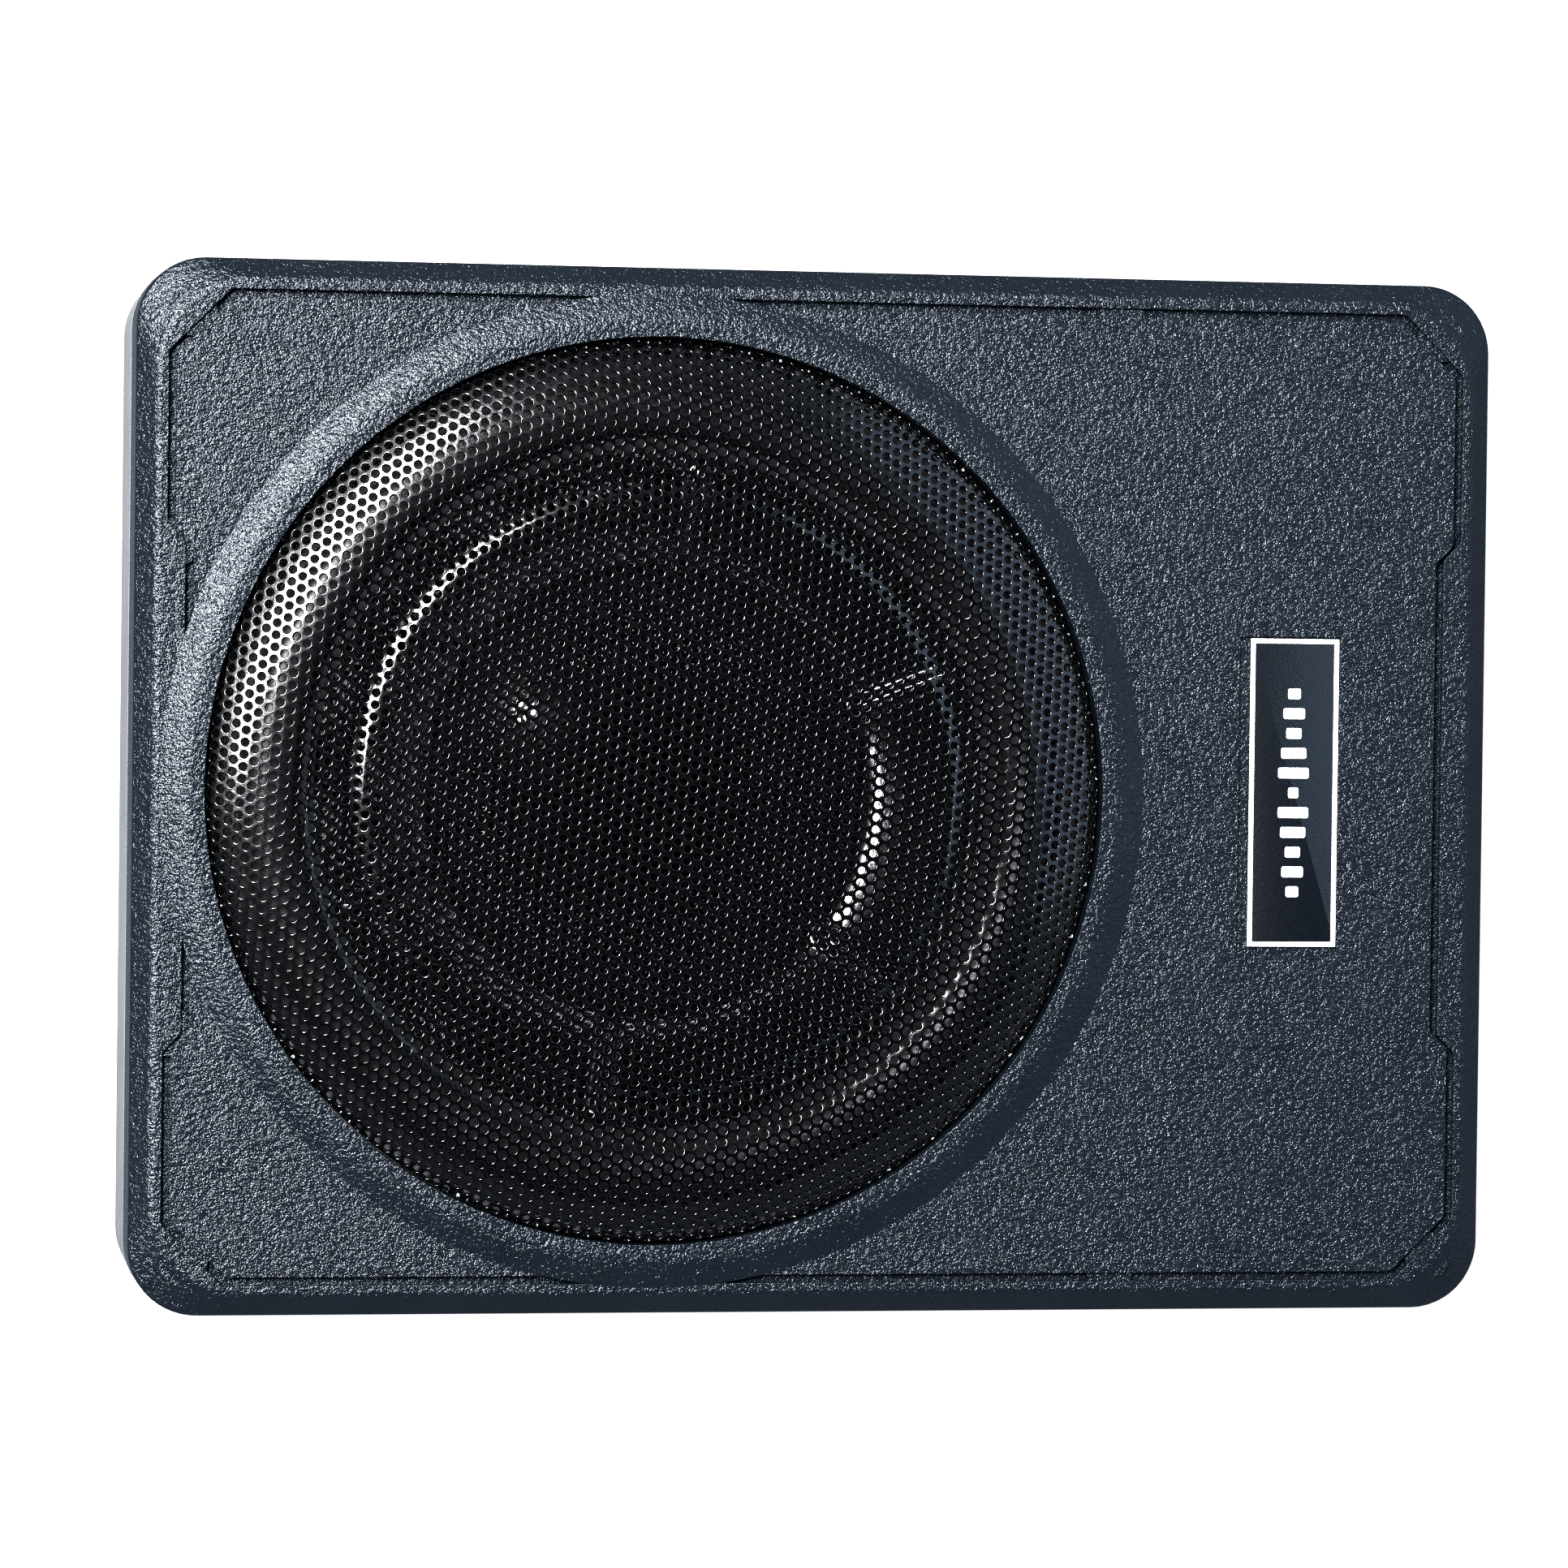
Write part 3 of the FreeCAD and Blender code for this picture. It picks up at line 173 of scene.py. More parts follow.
def rounded_block(low, high, radius, soften=0.15):
    """Points and faces of a flat block with round corners in plan and a softened top edge."""
    low = np.asarray(low, float)
    high = np.asarray(high, float)
    levels = [(0.0, low[2]), (0.0, high[2] - soften),
              (soften * 0.3, high[2] - soften * 0.3), (soften, high[2])]
    corner_steps = 6
    rings = []
    for inset, z in levels:
        ring = []
        corner = max(radius - inset, 0.01)
        for sx, sy, start in ((1, 1, 0), (-1, 1, 90), (-1, -1, 180), (1, -1, 270)):
            x = (high[0] - inset - corner) if sx > 0 else (low[0] + inset + corner)
            y = (high[1] - inset - corner) if sy > 0 else (low[1] + inset + corner)
            for k in range(corner_steps + 1):
                angle = math.radians(start + 90 * k / corner_steps)
                ring.append((x + corner * math.cos(angle), y + corner * math.sin(angle), z))
        rings.append(ring)
    count = len(rings[0])
    vertices = [point for ring in rings for point in ring]
    faces = [tuple(range(count))[::-1]]
    for row in range(len(rings) - 1):
        for k in range(count):
            after = (k + 1) % count
            lower = row * count
            upper = lower + count
            faces.append((lower + k, lower + after, upper + after, upper + k))
    faces.append(tuple(range(len(vertices) - count, len(vertices))))
    return vertices, faces


def join(shapes):
    """One list of points and faces from several."""
    vertices = []
    faces = []
    for points, polygons in shapes:
        start = len(vertices)
        vertices += [tuple(p) for p in points]
        faces += [tuple(index + start for index in polygon) for polygon in polygons]
    return vertices, faces


# Materials.

class Finish:
    """A node material with short calls for the nodes used below. Lengths are in millimetres."""

    def __init__(self, name, colour, roughness=0.5, metallic=0.0, specular=0.5,
                 coat=0.0, coat_roughness=0.1):
        self.material = bpy.data.materials.new(name)
        self.material.use_nodes = True
        self.tree = self.material.node_tree
        self.shader = self.tree.nodes["Principled BSDF"]
        self.set("Base Color", (*colour, 1.0))
        self.set("Roughness", roughness)
        self.set("Metallic", metallic)
        self.set("Specular IOR Level", specular)
        self.set("Coat Weight", coat)
        self.set("Coat Roughness", coat_roughness)
        self.bumps = None
        place = self.node("ShaderNodeTexCoord")
        scale = self.node("ShaderNodeVectorMath", operation="SCALE")
        scale.inputs["Scale"].default_value = 1 / MM
        self.link(place.outputs["Object"], scale.inputs[0])
        self.place = scale.outputs[0]

    def node(self, kind, **settings):
        node = self.tree.nodes.new(kind)
        for key, value in settings.items():
            setattr(node, key, value)
        return node

    def link(self, source, target):
        self.tree.links.new(source, target)

    def set(self, socket, value):
        self.shader.inputs[socket].default_value = value

    def noise(self, size, detail=2.0, rough=0.5, stretch=(1, 1, 1), distortion=0.0):
        """Noise from 0 to 1 whose blobs are about size millimetres across."""
        move = self.node("ShaderNodeMapping")
        move.inputs["Scale"].default_value = [s / size for s in stretch]
        self.link(self.place, move.inputs["Vector"])
        noise = self.node("ShaderNodeTexNoise")
        noise.inputs["Scale"].default_value = 1.0
        noise.inputs["Detail"].default_value = detail
        noise.inputs["Roughness"].default_value = rough
        noise.inputs["Distortion"].default_value = distortion
        self.link(move.outputs[0], noise.inputs["Vector"])
        return noise.outputs["Fac"]

    def cells(self, size, feature="F1", output="Distance", randomness=1.0):
        voronoi = self.node("ShaderNodeTexVoronoi", feature=feature)
        voronoi.inputs["Scale"].default_value = 1 / size
        voronoi.inputs["Randomness"].default_value = randomness
        self.link(self.place, voronoi.inputs["Vector"])
        return voronoi.outputs[output]

    def wave(self, size, direction="X", distortion=0.0):
        wave = self.node("ShaderNodeTexWave", bands_direction=direction)
        wave.inputs["Scale"].default_value = math.pi * 2 / (20 * size)
        wave.inputs["Distortion"].default_value = distortion
        self.link(self.place, wave.inputs["Vector"])
        return wave.outputs["Fac"]

    def ramp(self, source, *stops):
        """A colour ramp: each stop is a position and either a grey level or a colour."""
        ramp = self.node("ShaderNodeValToRGB")
        elements = ramp.color_ramp.elements
        while len(elements) < len(stops):
            elements.new(0.5)
        for element, (position, value) in zip(elements, stops):
            element.position = position
            colour = (value, value, value) if isinstance(value, (int, float)) else value
            element.color = (*colour, 1.0)
        self.link(source, ramp.inputs[0])
        return ramp.outputs[0]

    def math(self, operation, first, second):
        node = self.node("ShaderNodeMath", operation=operation)
        for socket, value in zip(node.inputs, (first, second)):
            if isinstance(value, (int, float)):
                socket.default_value = value
            else:
                self.link(value, socket)
        return node.outputs[0]

    def mix(self, factor, first, second):
        node = self.node("ShaderNodeMix", data_type="RGBA")
        for socket, value in ((node.inputs[0], factor), (node.inputs[6], first), (node.inputs[7], second)):
            if isinstance(value, (int, float)):
                socket.default_value = value
            elif isinstance(value, tuple):
                socket.default_value = (*value, 1.0)
            else:
                self.link(value, socket)
        return node.outputs[2]

    def split(self):
        """The X, Y and Z places as separate outputs, in millimetres."""
        node = self.node("ShaderNodeSeparateXYZ")
        self.link(self.place, node.inputs[0])
        return node.outputs

    def colour(self, source):
        self.link(source, self.shader.inputs["Base Color"])

    def rough(self, source):
        self.link(source, self.shader.inputs["Roughness"])

    def bump(self, height, depth, strength=1.0):
        """Adds a relief of the given depth in millimetres, on top of any earlier one."""
        bump = self.node("ShaderNodeBump")
        bump.inputs["Strength"].default_value = strength
        bump.inputs["Distance"].default_value = depth * MM
        self.link(height, bump.inputs["Height"])
        if self.bumps is not None:
            self.link(self.bumps, bump.inputs["Normal"])
        self.bumps = bump.outputs[0]
        self.link(self.bumps, self.shader.inputs["Normal"])
        return self


def sand_coat():
    """Black sand-texture powder coat: steep little crumbs that glint, over a bluish black body.
    Recesses are painted dull: ambient occlusion turns the gloss down in them, as painted shade."""
    finish = Finish("sand_coat", (0.0006, 0.0010, 0.0020), roughness=0.2, specular=0.3)
    crumbs = finish.math("POWER", finish.noise(0.50, detail=1.5, rough=0.5), 2.5)
    specks = finish.noise(1.2, detail=0.0)
    body = finish.ramp(finish.noise(14, detail=3), (0.3, (0.0013, 0.0021, 0.0034)),
                       (0.7, (0.0020, 0.0030, 0.0046)))
    finish.colour(body)
    finish.rough(finish.ramp(specks, (0.3, 0.17), (0.7, 0.24)))
    finish.set("Specular Tint", (0.90, 0.97, 1.05, 1.0))
    # Painted shade: ambient occlusion lowers the gloss in grooves and recesses so that they read dark.
    painted_recess_shade = finish.node("ShaderNodeAmbientOcclusion", samples=4)
    painted_recess_shade.inputs["Distance"].default_value = 2.5 * MM
    finish.link(finish.ramp(painted_recess_shade.outputs["AO"], (0.35, 0.0), (0.6, 0.3)),
                finish.shader.inputs["Specular IOR Level"])
    edges = finish.node("ShaderNodeBevel", samples=4)
    edges.inputs["Radius"].default_value = 0.35 * MM
    finish.bumps = edges.outputs[0]
    finish.bump(crumbs, 0.34)
    finish.bump(specks, 0.25)
    return finish.material


def grille_enamel():
    """Gloss black enamel on pressed sheet, with a slight orange peel."""
    finish = Finish("grille_enamel", (0.0002, 0.0002, 0.0003), roughness=0.15, specular=0.5)
    finish.rough(finish.ramp(finish.noise(2.2, detail=3), (0.35, 0.13), (0.7, 0.18)))
    finish.bump(finish.noise(1.6, detail=2), 0.045)
    return finish.material


def cast_alloy():
    """Fine blasted casting, light grey, with faint flow marks."""
    finish = Finish("cast_alloy", (0.2, 0.21, 0.22), roughness=0.5, metallic=0.3)
    tone = finish.noise(26, detail=4, rough=0.6)
    finish.colour(finish.ramp(tone, (0.3, (0.17, 0.168, 0.165)), (0.72, (0.215, 0.212, 0.208))))
    finish.rough(finish.ramp(finish.noise(5, detail=3), (0.3, 0.42), (0.7, 0.58)))
    finish.bump(finish.noise(0.5, detail=2), 0.05)
    finish.bump(finish.noise(9, detail=2), 0.12)
    return finish.material


def cone_gloss():
    """Gloss moulded cone with faint rings from the mould and fine scratches."""
    finish = Finish("cone_gloss", (0.0008, 0.0008, 0.001), roughness=0.10, specular=0.6, coat=0.5,
                    coat_roughness=0.05)
    finish.rough(finish.ramp(finish.noise(6, detail=4), (0.3, 0.08), (0.7, 0.11)))
    finish.bump(finish.noise(3.0, detail=2), 0.04)
    return finish.material


def cap_weave():
    """Gloss dome over a twill weave: two sets of threads that cross at right angles."""
    finish = Finish("cap_weave", (0.002, 0.002, 0.003), roughness=0.12, specular=0.02, coat=0.5,
                    coat_roughness=0.03)
    x, y, z = finish.split()
    across = finish.math("FRACT", finish.math("MULTIPLY", finish.math("ADD", x, y), 0.25), 0.0)
    along = finish.math("FRACT", finish.math("MULTIPLY", finish.math("SUBTRACT", x, y), 0.5), 0.0)
    twill = finish.math("GREATER_THAN", across, 0.5)
    thread = finish.math("PINGPONG", along, 0.5)
    finish.colour(finish.mix(twill, (0.0015, 0.0015, 0.002), (0.005, 0.005, 0.006)))
    finish.rough(finish.ramp(twill, (0.0, 0.3), (1.0, 0.18)))
    finish.bump(thread, 0.05)
    return finish.material


def rubber(name, level=0.03, roughness=0.55, grain=0.5, specular=0.4):
    finish = Finish(name, (level, level, level * 1.08), roughness=roughness, specular=specular)
    dust = finish.noise(18, detail=4, rough=0.65)
    dusty = (level * 1.5, level * 1.5, level * 1.6)
    finish.colour(finish.ramp(dust, (0.35, level * 0.8), (0.75, dusty)))
    finish.bump(finish.noise(grain, detail=2), 0.04)
    return finish.material


def foam(name, level=0.035):
    finish = Finish(name, (level, level, level), roughness=0.9, specular=0.2)
    pores = finish.cells(0.7)
    finish.colour(finish.ramp(pores, (0.1, level * 0.5), (0.6, level * 1.6)))
    finish.bump(pores, 0.3)
    return finish.material


def moulded(name, colour, roughness=0.45, grain=0.35, clear=0.0):
    """Moulded plastic: fine spark-eroded grain and a slight change of tone."""
    finish = Finish(name, colour, roughness=roughness)
    light = tuple(min(c * 1.18 + 0.004, 1.0) for c in colour)
    dark = tuple(c * 0.86 for c in colour)
    finish.colour(finish.ramp(finish.noise(11, detail=3), (0.3, dark), (0.7, light)))
    finish.rough(finish.ramp(finish.noise(3), (0.3, roughness * 0.85), (0.7, min(roughness * 1.2, 1.0))))
    finish.bump(finish.noise(grain, detail=2), 0.03)
    finish.set("Transmission Weight", clear)
    return finish.material


def plated(name, colour, roughness=0.28, brushed=None, stain=0.1):
    """Metal with a plated or machined face. brushed gives the stretch of the tool marks."""
    finish = Finish(name, colour, roughness=roughness, metallic=1.0)
    dull = tuple(c * (1 - stain * 2) for c in colour)
    finish.colour(finish.ramp(finish.noise(7, detail=4, rough=0.6), (0.3, dull), (0.65, colour)))
    finish.rough(finish.ramp(finish.noise(2.5, detail=3), (0.3, roughness * 0.8), (0.7, roughness * 1.35)))
    finish.bump(finish.noise(0.4, detail=2, stretch=brushed or (1, 1, 1)), 0.015)
    return finish.material


def satin_paint(name, level=0.02, roughness=0.4):
    finish = Finish(name, (level, level, level * 1.05), roughness=roughness)
    finish.colour(finish.ramp(finish.noise(9, detail=3), (0.3, level * 0.8), (0.7, level * 1.3)))
    finish.bump(finish.noise(0.8, detail=2), 0.04)
    return finish.material


def copper(name):
    finish = Finish(name, (0.72, 0.3, 0.12), roughness=0.3, metallic=1.0, coat=0.6, coat_roughness=0.15)
    finish.colour(finish.ramp(finish.noise(3, detail=3), (0.3, (0.55, 0.2, 0.07)),
                              (0.7, (0.82, 0.38, 0.17))))
    finish.bump(finish.wave(0.5, "Z"), 0.06)
    return finish.material


def spider_cloth():
    """Resin-stiffened woven cloth."""
    finish = Finish("spider_cloth", (0.48, 0.33, 0.12), roughness=0.7)
    weave = finish.math("MULTIPLY", finish.wave(0.6, "X"), finish.wave(0.6, "Y"))
    finish.colour(finish.mix(weave, (0.30, 0.19, 0.06), (0.62, 0.45, 0.19)))
    finish.bump(weave, 0.15)
    return finish.material


def ferrite(name="ferrite"):
    finish = Finish(name, (0.05, 0.05, 0.055), roughness=0.6)
    finish.colour(finish.ramp(finish.noise(4, detail=5, rough=0.7), (0.3, 0.035), (0.7, 0.08)))
    finish.bump(finish.noise(0.6, detail=3), 0.05)
    return finish.material


def circuit_board():
    """Green solder mask over copper tracks, with pale laminate at the edges."""
    finish = Finish("circuit_board", (0.01, 0.12, 0.05), roughness=0.3, coat=0.4)
    tracks = finish.ramp(finish.cells(5, feature="DISTANCE_TO_EDGE", output="Distance", randomness=0.35),
                         (0.04, 1.0), (0.07, 0.0))
    finish.colour(finish.mix(tracks, (0.008, 0.10, 0.04), (0.03, 0.26, 0.11)))
    finish.bump(tracks, 0.05)
    return finish.material


def two_tone(name, low_colour, high_colour, border_y, roughness=0.35):
    """One moulded material in two colours, changing over at a height along Y."""
    finish = Finish(name, low_colour, roughness=roughness)
    x, y, z = finish.split()
    past = finish.math("GREATER_THAN", y, border_y)
    tone = finish.ramp(finish.noise(6, detail=3), (0.3, 0.85), (0.7, 1.0))
    mixed = finish.mix(past, low_colour, high_colour)
    shade = finish.node("ShaderNodeMix", data_type="RGBA", blend_type="MULTIPLY")
    shade.inputs[0].default_value = 1.0
    finish.link(mixed, shade.inputs[6])
    finish.link(tone, shade.inputs[7])
    finish.colour(shade.outputs[2])
    finish.bump(finish.noise(0.5, detail=2), 0.02)
    return finish.material


def plate_field():
    """Dark field of the name plate, lightly leather-grained under a satin lacquer."""
    finish = Finish("plate_field", (0.002, 0.003, 0.005), roughness=0.22, specular=0.45)
    grain = finish.noise(0.7, detail=2, stretch=(1.0, 1.6, 1.0))
    finish.colour(finish.ramp(grain, (0.3, (0.0008, 0.0013, 0.0022)), (0.7, (0.0018, 0.0026, 0.004))))
    finish.bump(grain, 0.07)
    return finish.material


def bright_cut():
    """Diamond-cut aluminium of the plate's border and bars."""
    finish = Finish("bright_cut", (0.93, 0.94, 0.97), roughness=0.5, metallic=0.25)
    finish.colour(finish.ramp(finish.noise(5, detail=2), (0.3, (0.86, 0.87, 0.9)),
                              (0.7, (0.95, 0.96, 0.99))))
    finish.bump(finish.noise(0.3, stretch=(0.2, 2.0, 1.0)), 0.01)
    return finish.material


def lamp_lens():
    finish = Finish("lamp_lens", (0.08, 0.22, 0.8), roughness=0.15, coat=0.5)
    finish.colour(finish.ramp(finish.noise(1.2, detail=2), (0.3, (0.05, 0.16, 0.65)),
                              (0.7, (0.12, 0.3, 0.95))))
    finish.set("Emission Color", (0.1, 0.3, 1.0, 1.0))
    finish.set("Emission Strength", 0.4)
    return finish.material


def printed_white():
    finish = Finish("printed_white", (0.7, 0.7, 0.68), roughness=0.6)
    finish.colour(finish.ramp(finish.noise(1.5, detail=2), (0.3, 0.6), (0.7, 0.74)))
    finish.bump(finish.noise(0.3), 0.01)
    return finish.material


def paint(piece, material):
    """Gives every face of a piece one material."""
    piece.data.materials.clear()
    piece.data.materials.append(material)
    return piece


# Grille: formed sheet with punched holes in a hexagonal pattern.

HOLE_PITCH = 3.0
HOLE_RADIUS = 1.0
ROLL_OVER = 0.20
SHEET = 1.0
PATTERN_TURN = math.radians(-4.6)
SECTORS = 4


def grille_path():
    """Radius and height of the sheet's outer face from the centre to the rim's lower edge."""
    top = float(GRILLE_HIGH[2])
    rim = float(GRILLE_LOW[2])
    corners = [
        (0.0, top), (60.0, top - 0.15), (72.5, top - 0.45), (73.8, top - 0.6), (75.9, top - 1.45),
        (77.6, top - 1.6), (79.4, top - 1.3), (87.4, top - 1.3), (89.0, top - 0.75), (91.5, top - 0.7),
        (94.5, top - 0.95), (98.0, top - 1.6), (102.0, top - 2.65), (106.0, top - 4.0),
        (109.5, top - 5.4), (GRILLE_RADIUS, top - 6.7), (GRILLE_RADIUS, rim),
    ]
    return smooth_outline(corners, spacing=0.1, blur=0.6)


def perforated_sheet():
    """The grille as closed pieces, one per quarter: each hexagonal cell holds one hole.
    The flat pattern is laid over the formed shape by distance along the sheet."""
    path = grille_path()
    path[:, 0] = np.maximum(path[:, 0], 0.0)
    steps = np.linalg.norm(np.diff(path, axis=0), axis=1)
    along = np.concatenate([[0], np.cumsum(steps)])
    slope = np.gradient(path, along, axis=0)
    slope /= np.linalg.norm(slope, axis=1)[:, None]
    reach = along[-1]

    row = HOLE_PITCH * math.sqrt(3) / 2
    count = int(reach / row) + 2
    j, i = np.mgrid[-count:count + 1, -count:count + 1]
    flat = np.column_stack([((i + 0.5 * (j % 2)) * HOLE_PITCH).ravel(), (j * row).ravel()])
    turn = np.array([[math.cos(PATTERN_TURN), -math.sin(PATTERN_TURN)],
                     [math.sin(PATTERN_TURN), math.cos(PATTERN_TURN)]])
    quarter_turn = np.array([[0.0, -1.0], [1.0, 0.0]])
    spin = turn @ quarter_turn
    centres = flat @ spin.T
    centres = centres[np.hypot(*centres.T) < reach - HOLE_PITCH * 0.62]

    around = np.arange(12) * math.pi / 6
    corner = HOLE_PITCH / math.sqrt(3)
    edge_middle = HOLE_PITCH / 2
    hexagon = np.column_stack([np.sin(around), np.cos(around)])
    hexagon = hexagon * np.where(np.arange(12) % 2 == 0, corner, edge_middle)[:, None]
    circle = np.column_stack([np.sin(around), np.cos(around)])

    def formed(points, depth):
        """Lays flat pattern points over the formed sheet, depth millimetres under its outer face."""
        distance = np.hypot(points[:, 0], points[:, 1])
        angle = np.arctan2(points[:, 1], points[:, 0])
        where = np.minimum(distance, reach)
        radius = np.interp(where, along, path[:, 0])
        z = np.interp(where, along, path[:, 1])
        dr = np.interp(where, along, slope[:, 0])
        dz = np.interp(where, along, slope[:, 1])
        radius = radius + dz * depth
        z = z - dr * depth
        return np.column_stack([AXIS_X + radius * np.cos(angle), radius * np.sin(angle), z])

    turned_by = np.arctan2(centres[:, 1], centres[:, 0]) / (2 * math.pi) % 1.0
    sector = np.minimum(np.floor(turned_by * SECTORS).astype(int), SECTORS - 1)
    corner_points = centres[:, None] + (hexagon @ spin.T)[None]
    keys = np.round(corner_points.reshape(-1, 2) * 50).astype(np.int64)
    _, first, shared = np.unique(keys, axis=0, return_index=True, return_inverse=True)
    shared = shared.reshape(-1, 12)
    border = corner_points.reshape(-1, 2)[first]
    uses = np.bincount(shared.ravel(), minlength=len(border))
    corner_like = np.zeros(len(border), bool)
    corner_like[shared[:, ::2].ravel()] = True
    open_edge = uses < np.where(corner_like, 3, 2)
    distance = np.hypot(*border.T)
    rim_scale = np.where(open_edge, (reach + 0.001) / distance, 1.0)
    border = border * rim_scale[:, None]

    pieces = []
    for part in range(SECTORS):
        cells = np.where(sector == part)[0]
        used, local = np.unique(shared[cells], return_inverse=True)
        local = local.reshape(-1, 12)
        count = len(used)
        rings = [(HOLE_RADIUS + ROLL_OVER + 0.07, 0.0), (HOLE_RADIUS + ROLL_OVER, 0.0),
                 (HOLE_RADIUS + ROLL_OVER * 0.3, ROLL_OVER * 0.3), (HOLE_RADIUS, ROLL_OVER),
                 (HOLE_RADIUS, SHEET)]
        points = [formed(border[used], 0.0), formed(border[used], SHEET)]
        faces = []
        start = 2 * count
        ring_ids = []
        for radius, depth in rings:
            spots = (centres[cells][:, None] + (circle * radius @ spin.T)[None]).reshape(-1, 2)
            points.append(formed(spots, depth))
            ring_ids.append(start + np.arange(len(spots)).reshape(-1, 12))
            start += len(spots)
        loops = [local] + ring_ids + [local + count]
        for outer, inner in zip(loops, loops[1:]):
            after_outer = np.roll(outer, -1, axis=1)
            after_inner = np.roll(inner, -1, axis=1)
            faces.append(np.stack([outer, inner, after_inner, after_outer], axis=-1).reshape(-1, 4))
        sides = np.stack([local, np.roll(local, -1, axis=1)], axis=-1).reshape(-1, 2)
        ordered = np.sort(sides, axis=1)
        _, back, times = np.unique(ordered, axis=0, return_inverse=True, return_counts=True)
        alone = sides[times[back.ravel()] == 1]
        faces.append(np.column_stack([alone[:, 0], alone[:, 1], alone[:, 1] + count, alone[:, 0] + count]))
        quads = np.concatenate(faces)
        pieces.append(new_piece(f"grille_sheet_{part + 1}", np.concatenate(points), quads.tolist(),
                                sharp_angle=80))
    return pieces


# Woofer.

CONE_EDGE = 88.0
CAP_RADIUS = 54.5
CONE_SHEET = 0.8
NECK_RADIUS = 25.3
NECK_Z = 41.6
FOOT_Z = 45.2
BOWL_RADIUS = 58.5
SHOULDER_RADIUS = 67.5
FOOT_SLOPE = 0.06
WALL_SLOPE = 0.40
DISH_SLOPE = 0.240
SPOKES = 6
SPOKE_START = math.radians(21.5)
SPOKE_HALF_WIDTH = 1.7
SPOKE_HEIGHT = 1.6


def cone_height(radii):
    """Height of the cone's upper face at each radius, from its slopes: flat neck, hollow round the
    cap, shoulder, then a straight dish."""
    bends = [NECK_RADIUS, CAP_RADIUS - 0.1, CAP_RADIUS, BOWL_RADIUS, SHOULDER_RADIUS, CONE_EDGE]
    neck_slope = (FOOT_Z - NECK_Z) / (CAP_RADIUS - NECK_RADIUS)
    slopes = [neck_slope, neck_slope, FOOT_SLOPE, WALL_SLOPE, DISH_SLOPE, DISH_SLOPE]
    fine = np.linspace(NECK_RADIUS, CONE_EDGE, 2000)
    slope = np.interp(fine, bends, slopes)
    rise = np.concatenate([[0], np.cumsum((slope[1:] + slope[:-1]) / 2 * np.diff(fine))])
    return NECK_Z + np.interp(radii, fine, rise)


def cone_piece():
    """Moulded cone with six slim raised spokes."""
    neck = np.linspace(NECK_RADIUS, CAP_RADIUS, 8)
    dish = np.linspace(CAP_RADIUS + 0.6, CONE_EDGE, 60)
    radii = np.concatenate([neck, dish])
    upper = list(zip(radii, cone_height(radii)))
    lower = [(r, z - CONE_SHEET) for r, z in upper][::-1]

    def spokes(radius, angles, index):
        turn = (angles - SPOKE_START) % (2 * math.pi / SPOKES)
        turn = np.minimum(turn, 2 * math.pi / SPOKES - turn)
        plateau = 1 / (1 + np.exp((turn * radius - SPOKE_HALF_WIDTH) / 0.5))
        fade = np.clip((radius - CAP_RADIUS - 1.0) / 3, 0, 1) * np.clip((83.5 - radius) / 3, 0, 1)
        return SPOKE_HEIGHT * plateau * fade

    piece = lathe("cone_skin", upper + lower, CONE_BODY, segments=720, lift=spokes)
    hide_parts("cone")
    return paint(piece, cone_gloss())


def cap_piece():
    """Shallow dome with a short skirt that stands on the cone."""
    crest = float(box_mm("dust_cap")[1][2])
    edge_z = 45.4
    rise = crest - edge_z
    sphere = (CAP_RADIUS ** 2 + rise ** 2) / (2 * rise)
    angles = np.linspace(0, math.asin(CAP_RADIUS / sphere), 40)
    dome = [(sphere * math.sin(a), crest - sphere * (1 - math.cos(a))) for a in angles]
    dome[0] = (0.0, crest)
    skirt = [(CAP_RADIUS, 44.3), (CAP_RADIUS - 0.8, 44.3)]
    inside = [(max(r - 0.5, 0.0), z - 0.8) for r, z in dome[::-1]]
    piece = lathe("dust_cap_dome", dome + skirt + inside, CONE_BODY, segments=256, close=False)
    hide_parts("dust_cap")
    return paint(piece, cap_weave())


def stretch_between(piece):
    """Bakes the piece's placement into its points, so that it sits where it was built."""
    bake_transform(piece)


def surround_piece():
    """Half-roll rubber edge, with glue flanges on the cone and on the basket."""
    base = float(box_mm("surround")[0][2])
    middle = 96.0
    roll = 7.5
    sheet = 0.8
    angles = np.linspace(math.pi, 0, 33)
    top = [(84.5, base + sheet)]
    top += [(middle + roll * math.cos(a), base + sheet + roll * math.sin(a)) for a in angles]
    top += [(111.5, base + sheet)]
    under = [(111.5, base)]
    under += [(middle + (roll - sheet) * math.cos(a), base + (roll) * math.sin(a)) for a in angles[::-1]]
    under += [(84.5, base)]
    piece = lathe("surround_roll", top + under, None, segments=256, sharp_angle=60)
    stretch_between(piece)
    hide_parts("surround")
    return paint(piece, rubber("surround_rubber", level=0.008, roughness=0.32, grain=0.4, specular=0.2))


def spider_piece():
    """Corrugated centring disc."""
    base = 36.5
    sheet = 0.5
    radii = np.linspace(25.3, 67.0, 120)
    wave = 0.9 * np.sin(2 * math.pi * 4 * (radii - 29.5) / 30.0)
    wave *= np.clip((radii - 27.5) / 2, 0, 1) * np.clip((60.5 - radii) / 2, 0, 1)
    drop = 0.5 * np.clip((radii - 60) / 1.5, 0, 1)
    top = [(r, base + sheet + w - d) for r, w, d in zip(radii, wave, drop)]
    under = [(r, z - sheet) for r, z in top][::-1]
    piece = lathe("spider_disc", top + under, None, segments=160, sharp_angle=60)
    stretch_between(piece)
    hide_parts("spider")
    return paint(piece, spider_cloth())


